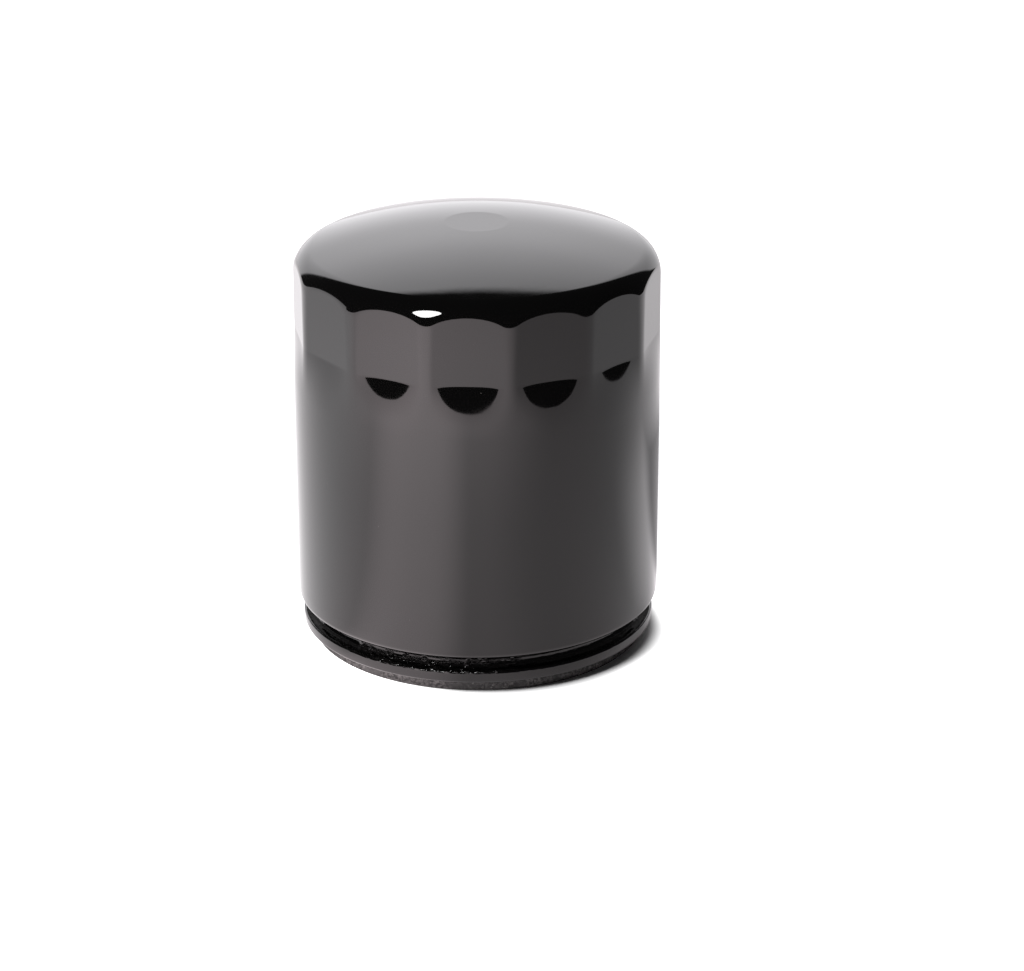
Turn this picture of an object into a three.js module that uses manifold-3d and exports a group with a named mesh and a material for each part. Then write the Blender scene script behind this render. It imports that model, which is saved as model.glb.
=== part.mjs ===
// A spin-on oil filter for a small engine, in millimetres, +Z up.
// It stands on its mounting gasket: z = 0 is the gasket's sealing face, and Z is the thread's axis.
// A flute of the domed wrench end is centred on the +X axis.

import * as THREE from "three";
import { mergeVertices } from "three/addons/utils/BufferGeometryUtils.js";
import Module from "manifold-3d";

const wasm = await Module();
wasm.setup();

// ---------------------------------------------------------------- driving dimensions

const CAN_RADIUS = 38; // 76 mm can, the size a 76 mm 14-flute cap wrench fits
const CAN_WALL = 0.5;
const LID_WALL = 0.6;
const CAP_WALL = 0.5;
const FIT = 0.05; // axial clearance where two pieces rest on each other

const CROWN_TOP = 89.4; // where the crown's sphere would meet the axis
const CROWN_RADIUS = 111.5;
const CROWN_FLAT_RADIUS = 6.6; // flat disc pressed into the middle of the crown
const SHOULDER_RADIUS = 5.8;

const FLUTES = 14;
const FLUTE_FLAT = 37.1; // distance of each flat from the axis
const FLUTE_BOTTOM = 66.9; // where the flat ends and its run-out begins
const RUNOUT_LENGTH = 7.6;

const BODY_BOTTOM = 8.1; // lowest point of the can's full-diameter body
const NECK_RADIUS = 34.3;
const SEAM_RADIUS = 37.1;
const SEAM_TOP = 5.0;
const SEAM_BOTTOM = 2.6;
const HOOK_END_RADIUS = 35.4;

const GASKET_OUTER = 35.0;
const GASKET_INNER = 30.8;

const THREAD_MAJOR = 19.05 / 2; // 3/4-16 UNF
const THREAD_PITCH = 25.4 / 16;
const THREAD_DEPTH = 0.86;
const HUB_RADIUS = 11.6;
const HUB_TOP = 13.6;
const HUB_ROOT_RADIUS = 13.4; // the hub's lower part, whose ledge carries the anti-drainback valve
const HUB_LEDGE = 11.4;
const PLATE_RADIUS = 33.5;
const PLATE_TOP = 8.1;
const INLETS = 8;
const INLET_RADIUS = 3.5;
const INLET_CIRCLE = 19.4;

const ELEMENT_BOTTOM = 13.5; // underside of the lower end cap
const ELEMENT_TOP = 74.0; // upper side of the upper end cap
const CAP_RADIUS = 33.0;
const TUBE_INNER = 12.8;
const TUBE_OUTER = 13.4;
const MEDIA_OUTER = 32.0;
const MEDIA_INNER = 14.2;
const MEDIA_SHEET = 0.7;
const PLEATS = 44;
const POTTING_DEPTH = 1.3;

const PORT_RADIUS = 6.5;
const BYPASS_CAGE_BOTTOM = 57.0;
const BYPASS_WIRE = 0.9;
const BYPASS_COIL_RADIUS = 4.9;

const SPRING_WIRE = 2.0;
const SPRING_BASE_RADIUS = 17.9;
const SPRING_TOP_RADIUS = 10;

// ---------------------------------------------------------------- values worked out from them

const SHOULDER_START = CROWN_TOP - CROWN_RADIUS +
  Math.sqrt((CROWN_RADIUS - SHOULDER_RADIUS) ** 2 - (CAN_RADIUS - SHOULDER_RADIUS) ** 2);
const CROWN_CENTRE = CROWN_TOP - CROWN_RADIUS;
const SHOULDER_CENTRE = CAN_RADIUS - SHOULDER_RADIUS;
const SHOULDER_ANGLE = Math.atan2(SHOULDER_START - CROWN_CENTRE, SHOULDER_CENTRE);
const LID_TOP = SEAM_TOP - CAN_WALL; // the tapping plate's outer face rests here
const LID_FLANGE_BOTTOM = LID_TOP - LID_WALL;
const RUNOUT_BOTTOM = FLUTE_BOTTOM - RUNOUT_LENGTH;

const CAN_SEGMENTS = FLUTES * 4;
const LID_SEGMENTS = 40;
const RING_SEGMENTS = 32;

// ---------------------------------------------------------------- geometry helpers

// Height of the crown's surface at a radius, for the outside (inset 0) or the inside of the can.
function crownHeight(radius, inset = 0) {
  return CROWN_CENTRE + Math.sqrt((CROWN_RADIUS - inset) ** 2 - radius ** 2);
}

// Points on an arc in the (radius, height) plane, from one angle to another in degrees.
function arc(centreR, centreZ, radius, from, to, steps) {
  return Array.from({ length: steps + 1 }, (_, i) => {
    const angle = THREE.MathUtils.degToRad(from + ((to - from) * i) / steps);
    return [centreR + radius * Math.cos(angle), centreZ + radius * Math.sin(angle)];
  });
}

// Turns [radius, height] pairs about the Z axis. A ring's profile is closed on itself.
function lathe(profile, segments, isRing = true) {
  const outline = isRing ? [...profile, profile[0]] : profile;
  let area = 0;
  profile.forEach(([r, z], i) => {
    const [nextR, nextZ] = profile[(i + 1) % profile.length];
    area += r * nextZ - nextR * z;
  });
  const points = outline.map(([r, z]) => new THREE.Vector2(r, z));
  if (area < 0) points.reverse();
  return new THREE.LatheGeometry(points, segments).rotateX(Math.PI / 2);
}

// Moves each vertex along its own radius: place(radius, angle, height) gives the new radius.
function reshape(geometry, place) {
  const position = geometry.getAttribute("position");
  for (let i = 0; i < position.count; i++) {
    const [x, y, z] = [position.getX(i), position.getY(i), position.getZ(i)];
    const radius = Math.hypot(x, y);
    if (radius > 1e-6) {
      const scale = place(radius, Math.atan2(y, x), z) / radius;
      position.setXYZ(i, x * scale, y * scale, z);
    }
  }
  return geometry;
}

function solidOf(geometry) {
  const bare = (geometry.index ? geometry.toNonIndexed() : geometry.clone());
  bare.deleteAttribute("normal");
  bare.deleteAttribute("uv");
  const merged = mergeVertices(bare, 1e-3);
  return new wasm.Manifold(new wasm.Mesh({
    numProp: 3,
    vertProperties: merged.getAttribute("position").array,
    triVerts: new Uint32Array(merged.index.array),
  }));
}

// Cuts every tool out of a geometry.
function cut(geometry, tools) {
  const left = tools.reduce((solid, tool) => solid.subtract(solidOf(tool)), solidOf(geometry));
  const mesh = left.getMesh();
  const result = new THREE.BufferGeometry();
  result.setAttribute("position", new THREE.BufferAttribute(mesh.vertProperties, 3));
  result.setIndex(new THREE.BufferAttribute(mesh.triVerts, 1));
  result.computeVertexNormals();
  return result;
}

// A round bar lying along +X from radius `from` to `to`, turned about Z and lifted to a height.
function radialBar(radius, from, to, angle, height, sides) {
  return new THREE.CylinderGeometry(radius, radius, to - from, sides)
    .rotateZ(Math.PI / 2)
    .translate((from + to) / 2, 0, 0)
    .rotateZ(angle)
    .translate(0, 0, height);
}

class Coil extends THREE.Curve {
  constructor(bottom, top, bottomRadius, topRadius, turns, flatTurns) {
    super();
    Object.assign(this, { bottom, top, bottomRadius, topRadius, turns, flatTurns });
  }

  // Height and radius change only between the flat end turns, which lie level.
  getPoint(t, target = new THREE.Vector3()) {
    const turn = t * this.turns;
    const share = THREE.MathUtils.smoothstep(turn, this.flatTurns, this.turns - this.flatTurns);
    const radius = THREE.MathUtils.lerp(this.bottomRadius, this.topRadius, share);
    const angle = turn * 2 * Math.PI;
    const height = THREE.MathUtils.lerp(this.bottom, this.top, share);
    return target.set(radius * Math.cos(angle), radius * Math.sin(angle), height);
  }
}

function wireAlong(curve, wire, steps, sides) {
  const section = new THREE.Shape();
  for (let i = 0; i < sides; i++) {
    const angle = (i / sides) * 2 * Math.PI;
    const move = i === 0 ? "moveTo" : "lineTo";
    section[move]((wire / 2) * Math.cos(angle), (wire / 2) * Math.sin(angle));
  }
  section.closePath();
  return new THREE.ExtrudeGeometry(section, { steps, extrudePath: curve, curveSegments: 1 });
}

// ---------------------------------------------------------------- materials

const finish = {
  gloss_black: { color: 0x0b0a0a, roughness: 0.12, metalness: 0.0 },
  bare_steel: { color: 0x9a9c9e, roughness: 0.35, metalness: 1.0 },
  zinc_steel: { color: 0xb4b6b0, roughness: 0.3, metalness: 1.0 },
  spring_steel: { color: 0x6e7072, roughness: 0.3, metalness: 1.0 },
  black_rubber: { color: 0x1a1a1b, roughness: 0.75, metalness: 0.0 },
  red_rubber: { color: 0x8c2a1c, roughness: 0.6, metalness: 0.0 },
  filter_paper: { color: 0xc9a35a, roughness: 0.9, metalness: 0.0 },
  plastisol: { color: 0x8a8d86, roughness: 0.6, metalness: 0.0 },
  sealant: { color: 0x4a4a48, roughness: 0.6, metalness: 0.0 },
};

const filter = new THREE.Group();

function add(name, geometry, material) {
  const mesh = new THREE.Mesh(geometry, new THREE.MeshStandardMaterial(finish[material]));
  mesh.name = name;
  filter.add(mesh);
}

// ---------------------------------------------------------------- housing

// Distance of a flute's flat from the axis at a height: constant on the flat, then out to the can's radius.
function flatDistance(height) {
  const run = THREE.MathUtils.clamp((FLUTE_BOTTOM - height) / RUNOUT_LENGTH, 0, 1);
  return FLUTE_FLAT + (CAN_RADIUS - FLUTE_FLAT) * Math.sin((run * Math.PI) / 2);
}

// The deep-drawn can: crown, fluted shoulder, body, neck, and the flange rolled round the lid's edge.
function canGeometry() {
  const shoulderDegrees = THREE.MathUtils.radToDeg(SHOULDER_ANGLE);
  const corner = 1.5; // outer radius of the body's lower corner
  const edge = 0.5; // outer radius of the rolled seam's edges
  const wallRows = [0, 0.3, 0.65, 1].map((share) => FLUTE_BOTTOM - RUNOUT_LENGTH * share);
  const crownRows = [0.75, 0.5];

  const outside = [
    [0, crownHeight(CROWN_FLAT_RADIUS)],
    [CROWN_FLAT_RADIUS, crownHeight(CROWN_FLAT_RADIUS)],
    ...crownRows.toReversed().map((share) => [SHOULDER_CENTRE * share, crownHeight(SHOULDER_CENTRE * share)]),
    ...arc(SHOULDER_CENTRE, SHOULDER_START, SHOULDER_RADIUS, shoulderDegrees, 0, 5),
    ...wallRows.map((z) => [CAN_RADIUS, z]),
    ...arc(CAN_RADIUS - corner, BODY_BOTTOM + corner, corner, 0, -90, 2),
    [NECK_RADIUS, BODY_BOTTOM],
    [NECK_RADIUS, SEAM_TOP],
    ...arc(SEAM_RADIUS - edge, SEAM_TOP - edge, edge, 90, 0, 1),
    ...arc(SEAM_RADIUS - edge, SEAM_BOTTOM + edge, edge, 0, -90, 1),
    [HOOK_END_RADIUS, SEAM_BOTTOM],
  ];
  const insideRadius = CAN_RADIUS - CAN_WALL;
  const inside = [
    [HOOK_END_RADIUS, SEAM_BOTTOM + CAN_WALL],
    [SEAM_RADIUS - CAN_WALL, SEAM_BOTTOM + CAN_WALL],
    [SEAM_RADIUS - CAN_WALL, SEAM_TOP - CAN_WALL],
    [NECK_RADIUS - CAN_WALL, SEAM_TOP - CAN_WALL],
    [NECK_RADIUS - CAN_WALL, BODY_BOTTOM + CAN_WALL],
    ...arc(CAN_RADIUS - corner, BODY_BOTTOM + corner, corner - CAN_WALL, -90, 0, 1),
    ...wallRows.toReversed().map((z) => [insideRadius, z]),
    ...arc(SHOULDER_CENTRE, SHOULDER_START, SHOULDER_RADIUS - CAN_WALL, 0, shoulderDegrees, 3),
    [SHOULDER_CENTRE * 0.6, crownHeight(SHOULDER_CENTRE * 0.6, CAN_WALL)],
    [CROWN_FLAT_RADIUS, crownHeight(CROWN_FLAT_RADIUS, CAN_WALL)],
    [0, crownHeight(CROWN_FLAT_RADIUS, CAN_WALL)],
  ];

  const fluteAngle = (2 * Math.PI) / FLUTES;
  const outerCount = outside.length;
  const geometry = lathe([...outside, ...inside], CAN_SEGMENTS, false);
  const profileSize = outerCount + inside.length;
  const position = geometry.getAttribute("position");
  for (let i = 0; i < position.count; i++) {
    const row = profileSize - 1 - (i % profileSize); // the lathe runs the outline from inside to outside
    const [x, y, z] = [position.getX(i), position.getY(i), position.getZ(i)];
    const radius = Math.hypot(x, y);
    if (z < RUNOUT_BOTTOM || radius < 1) continue;
    const fromFlute = Math.atan2(y, x) - fluteAngle * Math.round(Math.atan2(y, x) / fluteAngle);
    const inset = row < outerCount ? 0 : CAN_WALL;
    const pressed = Math.min(radius, flatDistance(z) / Math.cos(fromFlute) - inset);
    position.setXYZ(i, (x * pressed) / radius, (y * pressed) / radius, z);
  }
  return geometry;
}

// The thin lid: hemmed edge in the rolled seam, gasket seat, bead inside the gasket, welded inner flange.
function lidGeometry() {
  const hem = {
    outer: SEAM_RADIUS - CAN_WALL - 0.6,
    inner: HOOK_END_RADIUS - 0.1,
    bottom: SEAM_BOTTOM + CAN_WALL + 0.1,
  };
  const bead = { outer: GASKET_INNER - 0.4, inner: 27.0, bottom: 1.9 };
  const flangeEdge = 24.0;
  return lathe([
    [hem.outer, LID_TOP],
    [hem.outer, hem.bottom],
    [hem.inner, hem.bottom],
    [hem.inner, LID_FLANGE_BOTTOM],
    [bead.outer, LID_FLANGE_BOTTOM],
    [bead.outer, bead.bottom + 0.4],
    [bead.outer - 0.4, bead.bottom],
    [bead.inner + 0.4, bead.bottom],
    [bead.inner, bead.bottom + 0.4],
    [bead.inner, LID_FLANGE_BOTTOM],
    [flangeEdge, LID_FLANGE_BOTTOM],
    [flangeEdge, LID_TOP],
    [bead.inner + LID_WALL, LID_TOP],
    [bead.inner + LID_WALL, bead.bottom + LID_WALL],
    [bead.outer - LID_WALL, bead.bottom + LID_WALL],
    [bead.outer - LID_WALL, LID_TOP],
  ], LID_SEGMENTS);
}

// Sealing compound that fills the end of the rolled seam.
function sealantGeometry() {
  const inner = SEAM_RADIUS - CAN_WALL - 0.55;
  const outer = SEAM_RADIUS - CAN_WALL - 0.1;
  const bottom = SEAM_BOTTOM + CAN_WALL + FIT;
  const top = LID_TOP - FIT;
  return lathe([[inner, bottom], [outer, bottom], [outer, top], [inner, top]], LID_SEGMENTS);
}

function gasketGeometry() {
  const chamfer = 0.35;
  const top = LID_FLANGE_BOTTOM - FIT;
  return lathe([
    [GASKET_INNER + chamfer, 0],
    [GASKET_OUTER - chamfer, 0],
    [GASKET_OUTER, chamfer],
    [GASKET_OUTER, top],
    [GASKET_INNER, top],
    [GASKET_INNER, chamfer],
  ], LID_SEGMENTS);
}

// The thick plate: threaded hub drawn inwards, ring of oil inlets.
function platePlan() {
  const chamfer = 0.6;
  const rowStep = THREAD_PITCH / 4;
  const threadRows = Math.floor((HUB_TOP - LID_TOP - 2 * chamfer) / rowStep);
  const bore = Array.from({ length: threadRows + 1 }, (_, i) => [
    THREAD_MAJOR - THREAD_DEPTH,
    HUB_TOP - chamfer - ((HUB_TOP - LID_TOP - 2 * chamfer) * i) / threadRows,
  ]);
  return [
    [THREAD_MAJOR + 0.2, LID_TOP],
    [PLATE_RADIUS - 0.4, LID_TOP],
    [PLATE_RADIUS, LID_TOP + 0.4],
    [PLATE_RADIUS, PLATE_TOP],
    [HUB_ROOT_RADIUS + 0.6, PLATE_TOP],
    [HUB_ROOT_RADIUS, PLATE_TOP + 0.6],
    [HUB_ROOT_RADIUS, HUB_LEDGE],
    [HUB_RADIUS, HUB_LEDGE],
    [HUB_RADIUS, HUB_TOP - 0.4],
    [HUB_RADIUS - 0.4, HUB_TOP],
    [THREAD_MAJOR + 0.2, HUB_TOP],
    ...bore,
  ];
}

// How far the thread's groove is cut at a height and angle: 0 at its crest, 1 at its root.
function threadShare(height, angle) {
  const turn = height / THREAD_PITCH - angle / (2 * Math.PI);
  const saw = Math.abs(2 * (turn - Math.floor(turn)) - 1);
  return THREE.MathUtils.clamp((saw - 0.15) / 0.7, 0, 1);
}

function plateGeometry() {
  const crest = THREAD_MAJOR - THREAD_DEPTH;
  const threaded = reshape(lathe(platePlan(), RING_SEGMENTS), (radius, angle, height) =>
    radius < crest + 0.01 ? crest + THREAD_DEPTH * threadShare(height, angle) : radius);
  const inlets = Array.from({ length: INLETS }, (_, i) =>
    new THREE.CylinderGeometry(INLET_RADIUS, INLET_RADIUS, 2 * PLATE_TOP, 16)
      .rotateX(Math.PI / 2)
      .translate(INLET_CIRCLE, 0, PLATE_TOP)
      .rotateZ((2 * Math.PI * i) / INLETS));
  return cut(threaded, inlets);
}

// ---------------------------------------------------------------- anti-drainback valve

// One rubber moulding, split at its hinge line: the collar is clamped, and the flap lifts off the inlets.
const COLLAR_OUTER = 14.3;

function drainbackCollarGeometry() {
  const inner = HUB_RADIUS + 0.2;
  const bottom = HUB_LEDGE + FIT;
  const top = ELEMENT_BOTTOM - FIT;
  return lathe([[inner, bottom], [COLLAR_OUTER, bottom], [COLLAR_OUTER, top], [inner, top]], RING_SEGMENTS);
}

function drainbackFlapGeometry() {
  const hinge = { radius: COLLAR_OUTER + 0.3, bottom: HUB_LEDGE - 0.2, top: HUB_LEDGE + 0.7 };
  const lip = { outer: 26.4, seat: PLATE_TOP + FIT, thickness: 0.9 };
  return lathe([
    [hinge.radius, hinge.bottom],
    [lip.outer - 1.6, lip.seat + 0.25],
    [lip.outer - 0.8, lip.seat],
    [lip.outer, lip.seat + 0.2],
    [lip.outer, lip.seat + lip.thickness],
    [lip.outer - 1.6, lip.seat + lip.thickness + 0.2],
    [hinge.radius, hinge.top],
  ], RING_SEGMENTS);
}

// ---------------------------------------------------------------- filter element

const CAP_RIM = 4.0;
const LOWER_POTTING = ELEMENT_BOTTOM + CAP_WALL + FIT;
const UPPER_POTTING = ELEMENT_TOP - CAP_WALL - FIT;
const MEDIA_BOTTOM = LOWER_POTTING + POTTING_DEPTH + FIT;
const MEDIA_TOP = UPPER_POTTING - POTTING_DEPTH - FIT;

function lowerCapGeometry() {
  const hole = TUBE_INNER - 0.8;
  return lathe([
    [hole, ELEMENT_BOTTOM],
    [CAP_RADIUS - 0.4, ELEMENT_BOTTOM],
    [CAP_RADIUS, ELEMENT_BOTTOM + 0.4],
    [CAP_RADIUS, ELEMENT_BOTTOM + CAP_RIM],
    [CAP_RADIUS - CAP_WALL, ELEMENT_BOTTOM + CAP_RIM],
    [CAP_RADIUS - CAP_WALL, ELEMENT_BOTTOM + CAP_WALL],
    [hole + CAP_WALL, ELEMENT_BOTTOM + CAP_WALL],
    [hole + CAP_WALL, ELEMENT_BOTTOM + CAP_RIM],
    [hole, ELEMENT_BOTTOM + CAP_RIM],
  ], RING_SEGMENTS);
}

function upperCapGeometry() {
  const hole = TUBE_INNER - 0.8;
  return lathe([
    [hole, ELEMENT_TOP],
    [hole, ELEMENT_TOP - CAP_WALL],
    [CAP_RADIUS - CAP_WALL, ELEMENT_TOP - CAP_WALL],
    [CAP_RADIUS - CAP_WALL, ELEMENT_TOP - CAP_RIM],
    [CAP_RADIUS, ELEMENT_TOP - CAP_RIM],
    [CAP_RADIUS, ELEMENT_TOP - 0.4],
    [CAP_RADIUS - 0.4, ELEMENT_TOP],
  ], RING_SEGMENTS);
}

function pottingGeometry(bottom) {
  const inner = TUBE_OUTER + 0.2;
  const outer = CAP_RADIUS - CAP_WALL - 0.25;
  return lathe([
    [inner, bottom],
    [outer, bottom],
    [outer, bottom + POTTING_DEPTH],
    [inner, bottom + POTTING_DEPTH],
  ], RING_SEGMENTS);
}

// A rolled steel tube with staggered rows of oil holes.
function tubeGeometry() {
  const bottom = ELEMENT_BOTTOM + CAP_WALL + FIT;
  const top = ELEMENT_TOP - CAP_WALL - FIT;
  const rows = 5;
  const columns = 8;
  const holeRadius = 2.2;
  const firstRow = 22;
  const rowPitch = 7.6;
  const tube = lathe([
    [TUBE_INNER, bottom],
    [TUBE_OUTER, bottom],
    [TUBE_OUTER, top],
    [TUBE_INNER, top],
  ], 24);
  const holes = [];
  for (let row = 0; row < rows; row++) {
    for (let column = 0; column < columns; column++) {
      const angle = ((column + (row % 2) / 2) * 2 * Math.PI) / columns;
      const height = firstRow + row * rowPitch;
      holes.push(radialBar(holeRadius, TUBE_INNER - 2, TUBE_OUTER + 1, angle, height, 6));
    }
  }
  return cut(tube, holes);
}

// Folded paper: each pleat is two walls of the sheet, which meet at an outer tip and an inner fold.
function mediaGeometry() {
  const pitch = (2 * Math.PI) / PLEATS;
  const at = (radius, angle) => new THREE.Vector2(radius * Math.cos(angle), radius * Math.sin(angle));
  const outer = [];
  const inner = [];
  for (let i = 0; i < PLEATS; i++) {
    const tip = i * pitch;
    const fold = tip + pitch / 2;
    outer.push(at(MEDIA_OUTER, tip - MEDIA_SHEET / MEDIA_OUTER));
    outer.push(at(MEDIA_OUTER, tip + MEDIA_SHEET / MEDIA_OUTER));
    outer.push(at(MEDIA_INNER + MEDIA_SHEET, fold));
    inner.push(at(MEDIA_OUTER - MEDIA_SHEET, tip));
    inner.push(at(MEDIA_INNER, fold - MEDIA_SHEET / MEDIA_INNER));
    inner.push(at(MEDIA_INNER, fold + MEDIA_SHEET / MEDIA_INNER));
  }
  const star = new THREE.Shape(outer);
  star.holes.push(new THREE.Path(inner));
  return new THREE.ExtrudeGeometry(star, { depth: MEDIA_TOP - MEDIA_BOTTOM, bevelEnabled: false })
    .translate(0, 0, MEDIA_BOTTOM);
}

// The folded metal clip that joins the two ends of the pleated sheet, over the tip of one pleat.
function seamClipGeometry() {
  const sheet = 0.35;
  const halfWidth = 1.2;
  const legEnd = 28.4;
  const back = MEDIA_OUTER + 0.15;
  const bottom = ELEMENT_BOTTOM + CAP_RIM + 0.5;
  const top = ELEMENT_TOP - CAP_RIM - 0.5;
  const section = new THREE.Shape([
    new THREE.Vector2(legEnd, -halfWidth - sheet),
    new THREE.Vector2(back + sheet, -halfWidth - sheet),
    new THREE.Vector2(back + sheet, halfWidth + sheet),
    new THREE.Vector2(legEnd, halfWidth + sheet),
    new THREE.Vector2(legEnd, halfWidth),
    new THREE.Vector2(back, halfWidth),
    new THREE.Vector2(back, -halfWidth),
    new THREE.Vector2(legEnd, -halfWidth),
  ]);
  return new THREE.ExtrudeGeometry(section, { depth: top - bottom, bevelEnabled: false })
    .translate(0, 0, bottom);
}

// ---------------------------------------------------------------- bypass valve

const SEAT_UNDERSIDE = ELEMENT_TOP + FIT;
const SEAT_PLATE = 0.7;
const SEAL_THICKNESS = 0.7;
const POPPET_TOP = SEAT_UNDERSIDE - FIT - SEAL_THICKNESS;
const POPPET_THICKNESS = 1.3;
const CAGE_FLOOR = 0.6;
const BYPASS_SEGMENTS = 24;

// The seat plate lies on the upper end cap, and its skirt hangs into the centre tube.
function seatGeometry() {
  const skirt = { inner: 11.0, outer: 11.6, bottom: 69.5 };
  return lathe([
    [PORT_RADIUS, SEAT_UNDERSIDE],
    [skirt.inner, SEAT_UNDERSIDE],
    [skirt.inner, skirt.bottom],
    [skirt.outer, skirt.bottom],
    [skirt.outer, SEAT_UNDERSIDE],
    [15.0, SEAT_UNDERSIDE],
    [15.0, SEAT_UNDERSIDE + SEAT_PLATE],
    [PORT_RADIUS, SEAT_UNDERSIDE + SEAT_PLATE],
  ], BYPASS_SEGMENTS);
}

// The cage is pressed over the skirt and carries the spring on its floor; oil leaves through four windows.
function cageGeometry() {
  const wall = { inner: 11.9, outer: 12.4, top: 72.8 };
  const floorHole = 3.4;
  const cage = lathe([
    [floorHole, BYPASS_CAGE_BOTTOM],
    [wall.outer - 0.5, BYPASS_CAGE_BOTTOM],
    [wall.outer, BYPASS_CAGE_BOTTOM + 0.5],
    [wall.outer, wall.top],
    [wall.inner, wall.top],
    [wall.inner, BYPASS_CAGE_BOTTOM + CAGE_FLOOR],
    [floorHole, BYPASS_CAGE_BOTTOM + CAGE_FLOOR],
  ], BYPASS_SEGMENTS);
  const windowHeight = 7.0;
  const windowWidth = 9.0;
  const windows = [0, 1, 2, 3].map((i) =>
    new THREE.BoxGeometry(6, windowWidth, windowHeight)
      .translate(wall.outer, 0, 63.6)
      .rotateZ(((i + 0.5) * Math.PI) / 2));
  return cut(cage, windows);
}

// The poppet: a disc that carries the seal, and a stem that guides the spring.
function poppetGeometry() {
  const discRadius = 8.8;
  const stem = { radius: 3.2, bottom: 66.0 };
  return lathe([
    [0, stem.bottom],
    [stem.radius - 0.6, stem.bottom],
    [stem.radius, stem.bottom + 0.6],
    [stem.radius, POPPET_TOP - POPPET_THICKNESS],
    [discRadius, POPPET_TOP - POPPET_THICKNESS],
    [discRadius, POPPET_TOP],
    [5.0, POPPET_TOP],
    [4.4, POPPET_TOP + 0.5],
    [0, POPPET_TOP + 0.5],
  ], BYPASS_SEGMENTS, false);
}

function sealGeometry() {
  const bottom = POPPET_TOP + 0.02;
  return lathe([
    [5.3, bottom],
    [8.6, bottom],
    [8.6, POPPET_TOP + SEAL_THICKNESS],
    [5.3, POPPET_TOP + SEAL_THICKNESS],
  ], BYPASS_SEGMENTS);
}

function bypassSpringGeometry() {
  const bottom = BYPASS_CAGE_BOTTOM + CAGE_FLOOR + BYPASS_WIRE / 2 + FIT;
  const top = POPPET_TOP - POPPET_THICKNESS - BYPASS_WIRE / 2 - FIT;
  const turns = 5.5;
  const coil = new Coil(bottom, top, BYPASS_COIL_RADIUS, BYPASS_COIL_RADIUS, turns, 0.8);
  return wireAlong(coil, BYPASS_WIRE, turns * 10, 6);
}

// ---------------------------------------------------------------- spring that holds the element on its seat

const SPRING_SEAT_TOP = ELEMENT_TOP + FIT + 0.5;

// A stamped ring, stepped over the bypass valve's seat plate, with an outer lip that centres the spring.
function springSeatGeometry() {
  const sheet = 0.5;
  const step = { inner: 9.0, outer: 15.6 };
  const lip = { outer: 21.2, top: 77.2 };
  const low = ELEMENT_TOP + FIT;
  const high = SEAT_UNDERSIDE + SEAT_PLATE + FIT;
  return lathe([
    [step.inner, high],
    [step.outer - sheet, high],
    [step.outer, low],
    [lip.outer - sheet, low],
    [lip.outer, low + sheet],
    [lip.outer, lip.top],
    [lip.outer - sheet, lip.top],
    [lip.outer - sheet, low + sheet],
    [step.outer + sheet, low + sheet],
    [step.outer, high + sheet],
    [step.inner, high + sheet],
  ], RING_SEGMENTS);
}

function elementSpringGeometry() {
  const bottom = SPRING_SEAT_TOP + SPRING_WIRE / 2 + FIT;
  const top = crownHeight(SPRING_TOP_RADIUS + SPRING_WIRE / 2, CAN_WALL) - SPRING_WIRE / 2 - 0.15;
  const turns = 3.5;
  const coil = new Coil(bottom, top, SPRING_BASE_RADIUS, SPRING_TOP_RADIUS, turns, 0.7);
  return wireAlong(coil, SPRING_WIRE, turns * 16, 8);
}

// ---------------------------------------------------------------- assembly

add("can", canGeometry(), "gloss_black");
add("seaming_lid", lidGeometry(), "zinc_steel");
add("seam_sealant", sealantGeometry(), "sealant");
add("mounting_gasket", gasketGeometry(), "black_rubber");
add("tapping_plate", plateGeometry(), "bare_steel");

add("drainback_collar", drainbackCollarGeometry(), "red_rubber");
add("drainback_flap", drainbackFlapGeometry(), "red_rubber");

add("lower_end_cap", lowerCapGeometry(), "zinc_steel");
add("lower_potting", pottingGeometry(LOWER_POTTING), "plastisol");
add("center_tube", tubeGeometry(), "bare_steel");
add("filter_media", mediaGeometry(), "filter_paper");
add("media_seam_clip", seamClipGeometry(), "zinc_steel");
add("upper_potting", pottingGeometry(UPPER_POTTING - POTTING_DEPTH), "plastisol");
add("upper_end_cap", upperCapGeometry(), "zinc_steel");

add("bypass_seat", seatGeometry(), "zinc_steel");
add("bypass_cage", cageGeometry(), "zinc_steel");
add("bypass_poppet", poppetGeometry(), "bare_steel");
add("bypass_seal", sealGeometry(), "black_rubber");
add("bypass_spring", bypassSpringGeometry(), "spring_steel");

add("spring_seat", springSeatGeometry(), "zinc_steel");
add("element_spring", elementSpringGeometry(), "spring_steel");

export default filter;
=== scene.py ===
"""The looks of a spin-on oil filter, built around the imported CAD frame.

Lengths are in millimetres until a mesh is made, and angles are in degrees in the named values."""

import math

import bmesh
import bpy
import numpy as np
from mathutils import Matrix, Vector, noise


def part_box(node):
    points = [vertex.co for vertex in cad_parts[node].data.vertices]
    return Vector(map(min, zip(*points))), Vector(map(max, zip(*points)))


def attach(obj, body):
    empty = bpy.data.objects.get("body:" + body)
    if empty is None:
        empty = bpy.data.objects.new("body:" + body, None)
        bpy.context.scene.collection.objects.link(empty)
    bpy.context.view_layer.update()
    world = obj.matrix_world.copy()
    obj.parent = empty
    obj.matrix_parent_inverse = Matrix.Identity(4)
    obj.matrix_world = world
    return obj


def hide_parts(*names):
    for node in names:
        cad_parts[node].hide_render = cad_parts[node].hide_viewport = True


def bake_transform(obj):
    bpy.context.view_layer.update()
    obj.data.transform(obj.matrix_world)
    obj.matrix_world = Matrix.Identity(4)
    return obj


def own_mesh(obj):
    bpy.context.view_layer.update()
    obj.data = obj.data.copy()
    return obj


MM = 0.001

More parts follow.
